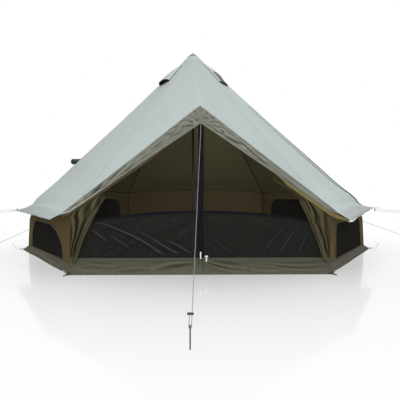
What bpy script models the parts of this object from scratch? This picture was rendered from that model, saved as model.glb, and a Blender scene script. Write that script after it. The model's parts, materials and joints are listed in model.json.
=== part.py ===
"""Six-sided bell tent for use with a stove, pitched on one centre pole.

Metres, +Z up. The origin lies on the ground at the middle of the plan, and the door faces -Y.
"""

from math import cos, pi, radians, sin

import bmesh
import bpy
from mathutils import Matrix, Vector
from mathutils.bvhtree import BVHTree

# Fits
fit_gap = 0.0003
seam_gap = 0.0006
eave_gap = 0.002
overrun = 0.05

# Cloth
cloth = 0.002
roof_cloth = 0.003

# Plan and top; the insets below are drawn in from the plan's radius
side_count = 6
plan_radius = 2.5
apex_height = 2.72
top_ring_radius = 0.05
pole_shift = -0.06
top_ring_drop = 0.048

# Front corners
front_wall_inset = 0.01
front_seam_inset = 0.075
front_seam_height = 0.66
front_eave_reach = 0.18
front_eave_drop = 0.075

# Side corners, drawn in at the wall and guyed out at the eave
side_foot_inset = 0.09
side_wall_inset = 0.175
side_seam_inset = 0.2875
side_seam_height = 0.6975
side_eave_reach = 0.17
side_eave_drop = 0.135

# Back corners
back_foot_inset = 0.03
back_wall_inset = 0.06
back_seam_inset = 0.075
back_seam_height = 0.80
back_eave_reach = 0.17
back_eave_drop = 0.10

# Roof curve, from the top ring to the seam and on to the hem
ridge_radius_shares = (0.0, 0.05, 0.2, 0.45, 0.7, 0.88, 1.0)
ridge_height_shares = (1.0, 0.945, 0.79, 0.535, 0.29, 0.11, 0.0)
bend_reach_share = 0.35
bend_drop_share = 0.6
hem_rise = 0.05
valance_depth = 0.06
valance_flare = 0.09
gore_columns = 8

# Door front
peak_lean = 0.205
peak_height = 1.4175
gable_setback = 0.245
gable_height = 1.65
sill_height = 0.1625
post_foot_inset = 0.005
post_top_inset = 0.026
post_top_height = 0.6055
band_bulge = 0.02
band_rows = 4
edge_lap = 0.006
mesh_split_height = 0.6025
mesh_split_droop = 0.1125
flap_top_share = 0.72
flap_foot_inset = 0.0475
zip_width = 0.065

# Rolled door flaps
roll_radius = 0.022
roll_tip_radius = 0.013
roll_foot_height = 0.124
roll_sides = 12
roll_swell_shares = (0.15, 0.6)
left_roll_share = 0.712
left_roll_height = 0.755
right_roll_share = 0.536
right_roll_height = 0.90

# Walls, skirt and floor
skirt_height = 0.1125
knee_height_share = 0.57
knee_lean_share = 0.15
floor_cloth = 0.003
wall_columns = 16
inward_step_share = 0.998
window_side = 0.28
window_corner = 0.14
front_window_foot = 0.13
front_window_top = 0.42
back_window_foot = 0.25
back_window_top = 0.66
arc_steps = 8

# Centre pole
pole_radius = 0.016
pole_split_height = 1.36
collar_radius = 0.0195
collar_height = 0.07
foot_radius = 0.045
foot_height = 0.012
head_radius = 0.03
head_height = 0.055
head_tip_radius = 0.006
cap_cloth = 0.003
turned_steps = 24

# Roof vents
vent_share = 0.36
vent_top_radius = 0.27
vent_length = 0.22
vent_width = 0.20
vent_height = 0.055
vent_back_height = 0.012
vent_top_share = 0.72
vent_hole_margin = 0.03
vent_columns = 12
vent_rows = 5
prop_radius = 0.004
prop_inset = 0.012

# Stove jack, on the back left gore
jack_gore = 4
jack_share = 0.76
jack_radius_share = 0.732
jack_width = 0.34
jack_length = 0.36
port_radius = 0.055
cover_radius = 0.034
cover_share = 0.985
cover_radius_share = 0.648
cover_length = 0.46
cover_overhang = 0.06

# Zip sliders and pulls
slider_width = 0.014
slider_depth = 0.007
slider_length = 0.03
slider_height = 0.205
sill_slider_x = 0.055
pull_width = 0.012
pull_depth = 0.003
pull_length = 0.05

# Guylines, runners and pegs
line_radius = 0.002
line_points = 30
turn_radius = 0.012
turn_points = 7
stake_x = -0.1
stake_run = 2.2475
stake_radius = 0.004
stake_height = 0.125
stake_grip_drop = 0.012
runner_width = 0.034
runner_depth = 0.007
runner_length = 0.012
runner_play = 0.0008
runner_hole_share = 0.25
runner_from_stake = 0.09
side_line_run = 0.40
side_line_height = 0.52
side_tip_reach = 0.04
runner_from_tip = 0.06
left_line_height = 0.2775
left_line_run = 0.42
right_line_height = 0.38
right_line_run = 0.91
peg_radius = 0.003
peg_length = 0.13
peg_hook = 0.07
peg_points = 14

# Sizes that follow from those above
cosine_share = cos(pi / side_count)
front_depth = plan_radius * cosine_share
half_side = plan_radius * sin(pi / side_count)
top_ring_height = apex_height - top_ring_drop
peak_reach = front_depth + peak_lean
gable_reach = front_depth - gable_setback
post_foot_x = half_side - post_foot_inset
post_top_x = half_side - post_top_inset
flap_top_x = half_side * flap_top_share
flap_foot_x = half_side - flap_foot_inset


def clear_scene():
    for item in list(bpy.data.objects):
        bpy.data.objects.remove(item)


def make_material(name, color, roughness, metallic=0.0):
    material = bpy.data.materials.new(name)
    material.use_nodes = True
    shader = material.node_tree.nodes["Principled BSDF"]
    shader.inputs["Base Color"].default_value = (*color, 1.0)
    shader.inputs["Roughness"].default_value = roughness
    shader.inputs["Metallic"].default_value = metallic
    material.diffuse_color = (*color, 1.0)
    return material


def add_object(name, mesh, material, location=(0.0, 0.0, 0.0)):
    item = bpy.data.objects.new(name, mesh)
    item.location = location
    bpy.context.collection.objects.link(item)
    mesh.materials.append(material)
    return item


def mesh_from(name, points, faces):
    """A closed mesh of triangles with its faces turned outward."""
    work = bmesh.new()
    corners = [work.verts.new(point) for point in points]
    for face in faces:
        work.faces.new([corners[index] for index in face])
    bmesh.ops.recalc_face_normals(work, faces=work.faces)
    bmesh.ops.triangulate(work, faces=[face for face in work.faces if len(face.verts) > 4])
    mesh = bpy.data.meshes.new(name)
    work.to_mesh(mesh)
    work.free()
    return mesh


def sheet_mesh(name, outer, inner):
    """Cloth between two grids of points of the same shape, closed along its four edges."""
    rows = len(outer)
    columns = len(outer[0])
    points = [point for row in outer for point in row] + [point for row in inner for point in row]
    back = rows * columns

    def corner(row, column, side):
        return row * columns + column + side * back

    def quad(a, b, c, d):
        return [(a, b, c), (a, c, d)]

    faces = []
    for row in range(rows - 1):
        for column in range(columns - 1):
            for side in (0, 1):
                loop = [
                    corner(row, column, side),
                    corner(row, column + 1, side),
                    corner(row + 1, column + 1, side),
                    corner(row + 1, column, side),
                ]
                faces += quad(*loop)
    rim = [(0, column) for column in range(columns - 1)]
    rim += [(row, columns - 1) for row in range(rows - 1)]
    rim += [(rows - 1, column) for column in range(columns - 1, 0, -1)]
    rim += [(row, 0) for row in range(rows - 1, 0, -1)]
    for here, there in zip(rim, rim[1:] + rim[:1]):
        faces += quad(corner(*here, 0), corner(*there, 0), corner(*there, 1), corner(*here, 1))
    return mesh_from(name, points, faces)


def turned_mesh(name, profile):
    """A solid turned about Z from (radius, height) pairs that start and end on the axis."""
    points = [Vector((0.0, 0.0, profile[0][1]))]
    for radius, height in profile[1:-1]:
        for step in range(turned_steps):
            angle = 2.0 * pi * step / turned_steps
            points.append(Vector((radius * cos(angle), radius * sin(angle), height)))
    points.append(Vector((0.0, 0.0, profile[-1][1])))
    rings = len(profile) - 2
    last = len(points) - 1
    faces = []
    for step in range(turned_steps):
        after = (step + 1) % turned_steps
        faces.append((0, 1 + after, 1 + step))
        for ring in range(rings - 1):
            low = 1 + ring * turned_steps
            high = low + turned_steps
            faces.append((low + step, low + after, high + after, high + step))
        top = 1 + (rings - 1) * turned_steps
        faces.append((top + step, top + after, last))
    return mesh_from(name, points, faces)


def box_mesh(name, low, high):
    points = [(x, y, z) for x in (low[0], high[0]) for y in (low[1], high[1]) for z in (low[2], high[2])]
    faces = [(0, 1, 3, 2), (4, 6, 7, 5), (0, 4, 5, 1), (2, 3, 7, 6), (0, 2, 6, 4), (1, 5, 7, 3)]
    return mesh_from(name, points, faces)


def tube_mesh(name, points, radii, sides):
    """A round bar through points, one radius to a point, with flat ends."""
    rings = []
    count = len(points)
    side = Vector((0.0, 1.0, 0.0))
    for index, point in enumerate(points):
        ahead = points[min(index + 1, count - 1)] - points[max(index - 1, 0)]
        ahead.normalize()
        across = (side - ahead * side.dot(ahead)).normalized()
        up = ahead.cross(across)
        ring = []
        for step in range(sides):
            angle = 2.0 * pi * step / sides
            ring.append(point + radii[index] * (across * cos(angle) + up * sin(angle)))
        rings.append(ring)
    faces = []
    for ring in range(count - 1):
        for step in range(sides):
            after = (step + 1) % sides
            low = ring * sides
            high = low + sides
            faces.append((low + step, low + after, high + after, high + step))
    faces.append(tuple(range(sides)))
    faces.append(tuple((count - 1) * sides + step for step in range(sides)))
    return mesh_from(name, [point for ring in rings for point in ring], faces)


def prism_mesh(name, outline, push):
    """A flat outline of points, pushed along one vector into a solid."""
    count = len(outline)
    points = list(outline) + [point + push for point in outline]
    faces = [tuple(range(count)), tuple(range(count, 2 * count))]
    for index in range(count):
        after = (index + 1) % count
        faces.append((index, after, after + count, index + count))
    return mesh_from(name, points, faces)


def cutter(name, mesh):
    item = bpy.data.objects.new(name, mesh)
    bpy.context.collection.objects.link(item)
    item.hide_render = True
    item.display_type = "WIRE"
    return item


def cut(item, tool, operation="DIFFERENCE"):
    change = item.modifiers.new("cut", "BOOLEAN")
    change.operation = operation
    change.solver = "EXACT"
    change.object = tool


def cord_object(name, points, radius, material):
    """A cord or a bent rod along points, with filled ends."""
    curve = bpy.data.curves.new(name, "CURVE")
    curve.dimensions = "3D"
    curve.bevel_depth = radius
    curve.bevel_resolution = 2
    curve.use_fill_caps = True
    spline = curve.splines.new("POLY")
    spline.points.add(len(points) - 1)
    for target, point in zip(spline.points, points):
        target.co = (*point, 1.0)
    curve.materials.append(material)
    item = bpy.data.objects.new(name, curve)
    bpy.context.collection.objects.link(item)
    return item


def corner_direction(index):
    """Unit vector from the pole to one corner: 0 front left, 1 front right, then round to 5."""
    angle = radians(-120.0) + 2.0 * pi * index / side_count
    return Vector((cos(angle), sin(angle), 0.0))


corner_kinds = ("front", "front", "side", "back", "back", "side")
seams = {
    "front": (plan_radius - front_seam_inset, front_seam_height),
    "side": (plan_radius - side_seam_inset, side_seam_height),
    "back": (plan_radius - back_seam_inset, back_seam_height),
}
eaves = {
    "front": (front_eave_reach, front_eave_drop),
    "side": (side_eave_reach, side_eave_drop),
    "back": (back_eave_reach, back_eave_drop),
}
wall_radii = {
    "front": plan_radius - front_wall_inset,
    "side": plan_radius - side_wall_inset,
    "back": plan_radius - back_wall_inset,
}
foot_radii = {
    "front": plan_radius,
    "side": plan_radius - side_foot_inset,
    "back": plan_radius - back_foot_inset,
}


def at_corner(index, radius, height):
    return corner_direction(index) * radius + Vector((0.0, 0.0, height))


def at_ridge(index, radius, height):
    """A point of a ridge. The ridges meet over the pole, which stands a little off the plan's centre."""
    seam_radius = seams[corner_kinds[index]][0]
    share = max(0.0, (seam_radius - radius) / (seam_radius - top_ring_radius))
    return at_corner(index, radius, height) + Vector((pole_shift * share, 0.0, 0.0))


def ridge_profile(kind):
    """Radius and height of a ridge, from the top ring past the wall seam to the hem."""
    seam_radius, seam_height = seams[kind]
    reach, drop = eaves[kind]
    profile = []
    for radius_share, height_share in zip(ridge_radius_shares, ridge_height_shares):
        radius = top_ring_radius + radius_share * (seam_radius - top_ring_radius)
        height = seam_height + height_share * (top_ring_height - seam_height)
        profile.append((radius, height))
    profile.append((seam_radius + bend_reach_share * reach, seam_height - bend_drop_share * drop))
    profile.append((seam_radius + reach, seam_height - drop))
    return profile


def valance_edge(kind):
    seam_radius, seam_height = seams[kind]
    reach, drop = eaves[kind]
    flare = valance_flare if kind != "side" else cloth
    return (seam_radius + reach + flare, seam_height - drop - valance_depth)


def inset_between(start, end, gap):
    """The same edge, shortened by a gap at both ends."""
    along = (end - start).normalized() * gap
    return start + along, end - along


def gore_grids(index):
    """Outer and inner points of one roof gore and its valance."""
    after = (index + 1) % side_count
    lines = []
    for corner in (index, after):
        kind = corner_kinds[corner]
        profile = ridge_profile(kind) + [valance_edge(kind)]
        lines.append([at_ridge(corner, radius, height) for radius, height in profile])
    seam_row = len(ridge_radius_shares) - 1
    hem_row = seam_row + 2
    outer = []
    inner = []
    for row, (start, end) in enumerate(zip(*lines)):
        start, end = inset_between(start, end, fit_gap)
        rise = hem_rise if seam_row <= row <= hem_row else 0.0
        outer_row = []
        inner_row = []
        for column in range(gore_columns + 1):
            share = column / gore_columns
            point = start.lerp(end, share)
            point.z += rise * 4.0 * share * (1.0 - share)
            outer_row.append(point)
            reach = point.xy.length
            if row >= hem_row:
                shrink = 1.0 - roof_cloth / reach
                drop = roof_cloth if row == hem_row else 0.0
            else:
                shrink = 1.0
                drop = roof_cloth
            inner_row.append(Vector((point.x * shrink, point.y * shrink, point.z - drop)))
        outer.append(outer_row)
        inner.append(inner_row)
    return outer, inner


def crease_points():
    """The front gore's centre crease, from the top ring to the gable of the hem."""
    radii = [radius for radius, height in ridge_profile("front")]
    start = Vector((pole_shift, -top_ring_radius * cosine_share, top_ring_height))
    end = Vector((0.0, -gable_reach, gable_height))
    reach = radii[-1] - radii[0]
    return [start.lerp(end, (radius - radii[0]) / reach) for radius in radii]


def front_gore_grids():
    """Two facets that meet on the crease; the hem rises to a gable over the door."""
    ridges = [[at_ridge(corner, *pair) for pair in ridge_profile("front")] for corner in (0, 1)]
    half = gore_columns // 2
    outer = []
    inner = []
    for left, crease, right in zip(ridges[0], crease_points(), ridges[1]):
        left = inset_between(left, crease, fit_gap)[0]
        right = inset_between(crease, right, fit_gap)[1]
        row = [left.lerp(crease, step / half) for step in range(half)]
        row += [crease.lerp(right, step / half) for step in range(half + 1)]
        outer.append(row)
        inner.append([point - Vector((0.0, 0.0, roof_cloth)) for point in row])
    return outer, inner


def build_roof(materials):
    """Six gores, and a tree of their faces for what fits under them."""
    names = {1: "front_right", 2: "back_right", 3: "back", 4: "back_left", 5: "front_left"}
    gores = {}
    grids = front_gore_grids()
    gores[0] = add_object("roof_front", sheet_mesh("roof_front", *grids), materials["roof"])
    for index, name in names.items():
        mesh = sheet_mesh("roof_" + name, *gore_grids(index))
        gores[index] = add_object("roof_" + name, mesh, materials["roof"])
    points = []
    faces = []
    for item in gores.values():
        first = len(points)
        points += [corner.co.copy() for corner in item.data.vertices]
        faces += [[first + index for index in face.vertices] for face in item.data.polygons]
    return gores, BVHTree.FromPolygons(points, faces)


def roof_underside(tree, x, y):
    """Height of the roof's inner face over a point, or over the nearest one inward that it covers."""
    place = Vector((x, y, 0.0))
    heights = []
    while not heights:
        for turn in (0.0, 1.0, -1.0):
            base = place + Vector((-place.y, place.x, 0.0)).normalized() * turn * seam_gap
            hit = tree.ray_cast(base, Vector((0.0, 0.0, 1.0)))[0]
            if hit is not None:
                heights.append(hit.z)
        place *= inward_step_share
    return min(heights)


def build_cap(materials):
    """Reinforced cap over the top ring, with its facets on those of the roof."""
    spokes = []
    for index in range(side_count):
        outer = gore_grids(index)[0] if index else front_gore_grids()[0]
        for ring, below in list(zip(outer[0], outer[1]))[:-1]:
            spokes.append((ring, below))
    up = Vector((0.0, 0.0, 1.0))
    inner = [Vector((pole_shift, 0.0, apex_height - cap_cloth))]
    outer = [Vector((pole_shift, 0.0, apex_height))]
    for part in (0, 1):
        for spoke in spokes:
            inner.append(spoke[part] + up * eave_gap / 2.0)
            outer.append(spoke[part] + up * (eave_gap / 2.0 + cap_cloth))
    count = len(spokes)
    back = len(inner)
    faces = []
    for step in range(count):
        after = (step + 1) % count
        for side in (0, back):
            near = [side + 1 + step, side + 1 + after]
            far = [near[0] + count, near[1] + count]
            faces.append((side, near[0], near[1]))
            faces.append((near[0], far[0], far[1]))
            faces.append((near[0], far[1], near[1]))
        low = 1 + count + step
        next_low = 1 + count + after
        faces.append((low, next_low, next_low + back))
        faces.append((low, next_low + back, low + back))
    add_object("roof_cap", mesh_from("roof_cap", inner + outer, faces), materials["roof"])


def front_y(height):
    """The door front stands upright at the sill and leans out above it to the peak."""
    if height <= sill_height:
        return -front_depth
    lean_share = (height - sill_height) / (peak_height - sill_height)
    return -front_depth - lean_share * (peak_reach - front_depth)


def door_edge_height(x):
    slope = (peak_height - post_top_height) / post_top_x
    return peak_height - abs(x) * slope


def post_x(height):
    share = (height - skirt_height) / (post_top_height - skirt_height)
    return post_foot_x + share * (post_top_x - post_foot_x)


def front_panel(name, outline, material):
    """A cloth panel of the door front, from (x, height) points above the sill."""
    points = [Vector((x, front_y(height), height)) for x, height in outline]
    return add_object(name, prism_mesh(name, points, Vector((0.0, cloth, 0.0))), material)


def build_bands(materials):
    """Cloth between the gable hem and the door's edge, one band to each side."""
    for name, sign, corner in (("left", -1.0, 0), ("right", 1.0, 1)):
        tip = at_corner(corner, *ridge_profile("front")[-1])
        gable = Vector((sign * seam_gap, -gable_reach, gable_height))
        peak = Vector((sign * seam_gap, front_y(peak_height), peak_height))
        foot = Vector((sign * post_top_x, front_y(post_top_height), post_top_height))
        alongs = [column / gore_columns for column in range(gore_columns + 1)]
        if name == "left":
            alongs.reverse()
        outer = []
        inner = []
        for row in range(band_rows + 1):
            share = row / band_rows
            outer_row = []
            inner_row = []
            for along in alongs:
                hem = gable.lerp(tip, along) - Vector((0.0, seam_gap + cloth, 0.0))
                edge = peak.lerp(foot, along)
                point = hem.lerp(edge, share)
                bulge = band_bulge * sin(pi * share) * (1.0 - along)
                point += Vector((0.0, -bulge / 2.0, bulge))
                outer_row.append(point)
                inner_row.append(point + Vector((0.0, cloth, -cloth)))
            outer.append(outer_row)
            inner.append(inner_row)
        mesh = sheet_mesh("door_band_" + name, outer, inner)
        add_object("door_band_" + name, mesh, materials["band"])


def mesh_split(x):
    """Height of the taped seam between a mesh leaf and its lower panel."""
    share = x / flap_foot_x
    return mesh_split_height - mesh_split_droop * share * share


def flap_line_x(height):
    """Where the tied-back door flap leaves the front wall."""
    flap_top_height = door_edge_height(flap_top_x) - edge_lap
    share = (height - sill_height) / (flap_top_height - sill_height)
    return flap_foot_x + share * (flap_top_x - flap_foot_x)


def split_end_x():
    """Where the taped seam meets the flap's line, found by closing in from the foot."""
    x = flap_foot_x
    for step in range(arc_steps):
        x = flap_line_x(mesh_split(x))
    return x


def build_door(materials):
    """Two mesh leaves, each with a lower panel, the centre zip and the two front walls."""
    low = sill_height + seam_gap
    half = zip_width / 2.0
    top = door_edge_height
    strip = [(-half, low), (half, low), (half, top(half) - edge_lap)]
    strip += [(0.0, top(0.0) - edge_lap), (-half, top(half) - edge_lap)]
    front_panel("door_zip", strip, materials["zip"])
    inner_x = half + seam_gap
    outer_x = split_end_x() - seam_gap
    steps = [inner_x + (outer_x - inner_x) * step / arc_steps for step in range(arc_steps + 1)]
    flap_x = flap_top_x - seam_gap
    for name, sign in (("left", -1.0), ("right", 1.0)):
        upper = [(sign * x, mesh_split(x) + seam_gap) for x in steps]
        upper += [(sign * flap_x, top(flap_x) - edge_lap), (sign * inner_x, top(inner_x) - edge_lap)]
        front_panel("door_mesh_" + name, upper, materials["mesh"])
        lower = [(sign * x, mesh_split(x) - seam_gap) for x in steps]
        lower += [(sign * (flap_foot_x - seam_gap), low), (sign * inner_x, low)]
        front_panel("door_panel_" + name, lower, materials["panel"])
        wall = [(flap_foot_x, low), (post_x(low), low), (post_top_x, post_top_height - edge_lap)]
        wall += [(flap_top_x, top(flap_top_x) - edge_lap)]
        wall = [(sign * x, height) for x, height in wall]
        front_panel("front_wall_" + name, wall, materials["wall"])


def build_rolls(materials):
    """The two door flaps, rolled up and tied back in front of the wall."""
    mid_height = (left_roll_height + roll_foot_height) / 2.0
    paths = {
        "left": [(-half_side * left_roll_share, left_roll_height), (-flap_line_x(mid_height), mid_height)],
        "right": [(half_side * right_roll_share, right_roll_height), (flap_top_x, left_roll_height)],
    }
    paths["right"].append((flap_line_x(mid_height), mid_height))
    paths["left"].append((-flap_foot_x, roll_foot_height))
    paths["right"].append((flap_foot_x, roll_foot_height))
    for name, path in paths.items():
        points = []
        radii = []
        for index in range(len(path) - 1):
            (x0, z0), (x1, z1) = path[index], path[index + 1]
            for step in range(arc_steps):
                share = step / arc_steps
                points.append((x0 + share * (x1 - x0), z0 + share * (z1 - z0)))
        points.append(path[-1])
        count = len(points) - 1
        for index in range(count + 1):
            start, span = roll_swell_shares
            swell = sin(pi * (start + span * index / count))
            radii.append(roll_tip_radius + (roll_radius - roll_tip_radius) * swell)
        places = []
        for (x, height), radius in zip(points, radii):
            places.append(Vector((x, front_y(height) - roll_radius - seam_gap, height)))
        mesh = tube_mesh("door_flap_" + name, places, radii, roll_sides)
        add_object("door_flap_" + name, mesh, materials["wall"])


def post_plan(corner, height):
    """Where the wall's front edge stands, just behind the door front."""
    sign = -1.0 if corner == 0 else 1.0
    height = min(height, post_top_height)
    return Vector((sign * post_x(height), front_y(height) + cloth + seam_gap, 0.0))


def wall_edge(corner, joins_front, shares, top):
    """Plan of a wall's outer edge at one corner, from its foot through the knee to the roof."""
    kind = corner_kinds[corner]
    if joins_front:
        return [post_plan(corner, skirt_height + share * (top - skirt_height)) for share in shares]
    leans = [knee_lean_share * share / knee_height_share for share in shares[:-1]] + [1.0]
    fall = seams[kind][0] - wall_radii[kind]
    return [corner_direction(corner) * (wall_radii[kind] + lean * fall) for lean in leans]


def wall_tops(plan, tree):
    """Heights of a wall's columns, each under the lowest roof that reaches the next column."""
    lows = []
    for here, there in zip(plan, plan[1:]):
        heights = []
        for step in range(arc_steps + 1):
            point = here.lerp(there, step / arc_steps)
            inside = point * (1.0 - cloth / point.length)
            heights.append(roof_underside(tree, point.x, point.y))
            heights.append(roof_underside(tree, inside.x, inside.y))
        lows.append(min(heights) - eave_gap)
    return [min(pair) for pair in zip([lows[0]] + lows, lows + [lows[-1]])]


def wall_plan(start, end):
    """Points along a wall, from corner to corner."""
    start, end = inset_between(start, end, seam_gap)
    return [start.lerp(end, column / wall_columns) for column in range(wall_columns + 1)]


def wall_grids(index, tree):
    after = (index + 1) % side_count
    starts_at_door = index == 1
    ends_at_door = after == 0
    highest = (knee_height_share, 1.0)
    start = wall_edge(index, starts_at_door, highest, peak_height)[-1]
    end = wall_edge(after, ends_at_door, highest, peak_height)[-1]
    tops = wall_tops(wall_plan(start, end), tree)
    post_top = tops[0] if starts_at_door else tops[-1]
    sill_share = (sill_height - skirt_height) / (post_top - skirt_height)
    shares = (0.0, sill_share, knee_height_share, 1.0)
    start_line = wall_edge(index, starts_at_door, shares, post_top)
    end_line = wall_edge(after, ends_at_door, shares, post_top)
    plans = [wall_plan(start, end) for start, end in zip(start_line, end_line)]
    outer = []
    inner = []
    for share, plan in zip(shares, plans):
        outer_row = []
        inner_row = []
        for point, top in zip(plan, tops):
            height = skirt_height + share * (top - skirt_height)
            shrink = 1.0 - cloth / point.length
            outer_row.append(Vector((point.x, point.y, height)))
            inner_row.append(Vector((point.x * shrink, point.y * shrink, height)))
        outer.append(outer_row)
        inner.append(inner_row)
    return outer, inner


def window_cutter(name, index, foot, top, margin):
    """Arched block through a wall, drawn in by a margin from the window's outline."""
    after = (index + 1) % side_count
    start = corner_direction(index) * wall_radii[corner_kinds[index]]
    end = corner_direction(after) * wall_radii[corner_kinds[after]]
    along = (end - start).normalized()
    out = Vector((along.y, -along.x, 0.0))
    length = (end - start).length
    left = window_side + margin
    right = length - window_side - margin
    low = foot + margin
    high = top - margin
    radius = window_corner - margin
    outline = [(left, low), (right, low)]
    for centre, turn in ((right - radius, 0.0), (left + radius, pi / 2.0)):
        for step in range(arc_steps + 1):
            angle = turn + pi / 2.0 * step / arc_steps
            outline.append((centre + radius * cos(angle), high - radius + radius * sin(angle)))
    up = Vector((0.0, 0.0, 1.0))
    depth = window_side
    points = [start + along * u + up * v + out * depth for u, v in outline]
    return cutter(name, prism_mesh(name, points, out * -2.0 * depth))


def build_walls(materials, tree):
    names = {1: "front_right", 2: "back_right", 3: "back", 4: "back_left", 5: "front_left"}
    for index, name in names.items():
        grids = wall_grids(index, tree)
        mesh = sheet_mesh("wall_" + name, *grids)
        wall = add_object("wall_" + name, mesh, materials["wall"])
        if name == "back":
            continue
        front = name.startswith("front")
        foot = front_window_foot if front else back_window_foot
        top = front_window_top if front else back_window_top
        cut(wall, window_cutter("cut_wall_" + name, index, foot, top, 0.0))
        pane = sheet_mesh("window_" + name, *grids)
        window = add_object("window_" + name, pane, materials["mesh"])
        tool = window_cutter("keep_window_" + name, index, foot, top, fit_gap)
        cut(window, tool, "INTERSECT")


def build_skirt(materials):
    """Floor-cloth skirt under the five walls, flared at its foot, and the door sill."""
    order = [1, 2, 3, 4, 5, 0]
    outer = [[], []]
    inner = [[], []]
    for corner in order:
        kind = corner_kinds[corner]
        foot = corner_direction(corner) * foot_radii[kind]
        head = corner_direction(corner) * wall_radii[kind]
        if kind == "front":
            back = -front_depth + cloth + seam_gap
            foot = Vector((foot.x, back, 0.0))
            head = Vector((head.x, back, 0.0))
        for row, place, height in ((0, head, skirt_height - seam_gap), (1, foot, 0.0)):
            shrink = 1.0 - cloth / place.length
            near = Vector((place.x * shrink, place.y * shrink, height))
            if kind == "front":
                near = Vector((place.x * shrink, place.y, height))
            outer[row].append(Vector((place.x, place.y, height)))
            inner[row].append(near)
    add_object("skirt", sheet_mesh("skirt", outer, inner), materials["skirt"])
    outline = [(-half_side, 0.0), (half_side, 0.0), (post_foot_x, sill_height), (-post_foot_x, sill_height)]
    front_panel("door_sill", outline, materials["skirt"])


def build_floor(materials):
    """Groundsheet inside the skirt."""
    clear = cloth + seam_gap
    points = []
    for corner in range(side_count):
        kind = corner_kinds[corner]
        place = corner_direction(corner) * (foot_radii[kind] - (clear + cloth) / cosine_share)
        points.append(place)
    mesh = prism_mesh("groundsheet", points, Vector((0.0, 0.0, floor_cloth)))
    add_object("groundsheet", mesh, materials["floor"])


def add_pole_piece(name, profile, material):
    mesh = turned_mesh(name, profile)
    mesh.transform(Matrix.Translation((pole_shift, 0.0, 0.0)))
    add_object(name, mesh, material)


def build_pole(materials):
    """Two-section pole with a foot, a collar at the joint and a head under the cap."""
    base = floor_cloth + fit_gap
    lower = [(0.0, base), (foot_radius, base), (foot_radius, base + foot_height)]
    lower += [(pole_radius, base + foot_height), (pole_radius, pole_split_height - collar_height)]
    lower += [(collar_radius, pole_split_height - collar_height), (collar_radius, pole_split_height)]
    lower += [(0.0, pole_split_height)]
    add_pole_piece("pole_lower", lower, materials["pole"])
    under_cap = apex_height - cap_cloth - fit_gap
    cap_fall = apex_height - cap_cloth - top_ring_height - eave_gap / 2.0
    steepness = cap_fall / (top_ring_radius * cosine_share)
    head_top = under_cap - head_tip_radius * steepness
    shoulder = under_cap - head_radius * steepness
    head_base = shoulder - head_height
    start = pole_split_height + fit_gap
    end = head_base - fit_gap
    upper = [(0.0, start), (pole_radius, start), (pole_radius, end), (0.0, end)]
    add_pole_piece("pole_upper", upper, materials["pole"])
    head = [(0.0, head_base), (head_radius, head_base), (head_radius, shoulder)]
    head += [(head_tip_radius, head_top), (0.0, head_top)]
    add_pole_piece("pole_head", head, materials["plastic"])


def gore_frame(index, share, radius):
    """A place on a gore's outer face: point, down-slope, across and outward directions."""
    after = (index + 1) % side_count
    ends = []
    for corner in (index, after):
        profile = ridge_profile(corner_kinds[corner])
        for (r0, h0), (r1, h1) in zip(profile, profile[1:]):
            if r0 <= radius <= r1:
                part = (radius - r0) / (r1 - r0)
                here = at_ridge(corner, radius, h0 + part * (h1 - h0))
                slope = at_ridge(corner, r1, h1) - at_ridge(corner, r0, h0)
        ends.append((here, slope.normalized()))
    point = ends[0][0].lerp(ends[1][0], share)
    across = (ends[1][0] - ends[0][0]).normalized()
    down = ends[0][1].lerp(ends[1][1], share)
    down = (down - across * down.dot(across)).normalized()
    out = down.cross(across).normalized()
    if out.z < 0.0:
        out = -out
    return point, down, across, out


def panel_cutter(name, point, down, across, out, length, width, margin):
    """Block through the roof, square to its face, centred on a point."""
    half_down = down * (length / 2.0 - margin)
    half_across = across * (width / 2.0 - margin)
    corners = [(-1.0, -1.0), (1.0, -1.0), (1.0, 1.0), (-1.0, 1.0)]
    points = [point + half_down * a + half_across * b + out * overrun for a, b in corners]
    return cutter(name, prism_mesh(name, points, out * -2.0 * overrun))


def inlay(name, gore, index, frame, length, width, material):
    """A panel let into a gore: the same cloth, cut from the same hole."""
    cut(gore, panel_cutter("cut_" + name, *frame, length, width, 0.0))
    grids = front_gore_grids() if index == 0 else gore_grids(index)
    item = add_object(name, sheet_mesh(name, *grids), material)
    cut(item, panel_cutter("keep_" + name, *frame, length, width, fit_gap), "INTERSECT")
    return item


def build_vents(materials, gores, tree):
    """Mesh let into the roof near each side ridge, under a hood held open by a prop."""
    for name, index, share in (("left", 5, vent_share), ("right", 1, 1.0 - vent_share)):
        top, down, across, out = gore_frame(index, share, vent_top_radius)
        middle = top + down * vent_length / 2.0
        length = vent_length - 2.0 * vent_hole_margin
        width = vent_width - 2.0 * vent_hole_margin
        frame = (middle, down, across, out)
        inlay("vent_mesh_" + name, gores[index], index, frame, length, width, materials["mesh"])

        def seat(place):
            hit = tree.ray_cast(place + out * overrun, -out)[0]
            return hit + out * seam_gap

        outer = []
        inner = []
        for row in range(vent_rows + 1):
            part = row / vent_rows
            start = top + down * vent_length * part
            half = vent_width / 2.0 * (vent_top_share + (1.0 - vent_top_share) * part)
            height = vent_back_height + (vent_height - vent_back_height) * part
            outer_row = []
            inner_row = []
            for column in range(vent_columns + 1):
                angle = pi * column / vent_columns
                for line, thinner in ((outer_row, 0.0), (inner_row, cloth)):
                    base = seat(start - across * (half - thinner) * cos(angle))
                    line.append(base + out * (height - thinner) * sin(angle))
            outer.append(outer_row)
            inner.append(inner_row)
        hood = sheet_mesh("vent_hood_" + name, outer, inner)
        add_object("vent_hood_" + name, hood, materials["roof"])

        mouth_share = (vent_length - prop_inset) / vent_length
        rise = vent_back_height + (vent_height - vent_back_height) * mouth_share - cloth
        foot = seat(top + down * (vent_length - prop_inset)) + out * prop_radius
        tip = foot + out * (rise - prop_radius - 2.0 * seam_gap)
        prop = tube_mesh("vent_prop_" + name, [foot, tip], [prop_radius, prop_radius], roll_sides)
        shift_origin(add_object("vent_prop_" + name, prop, materials["plastic"]), foot)


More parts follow.
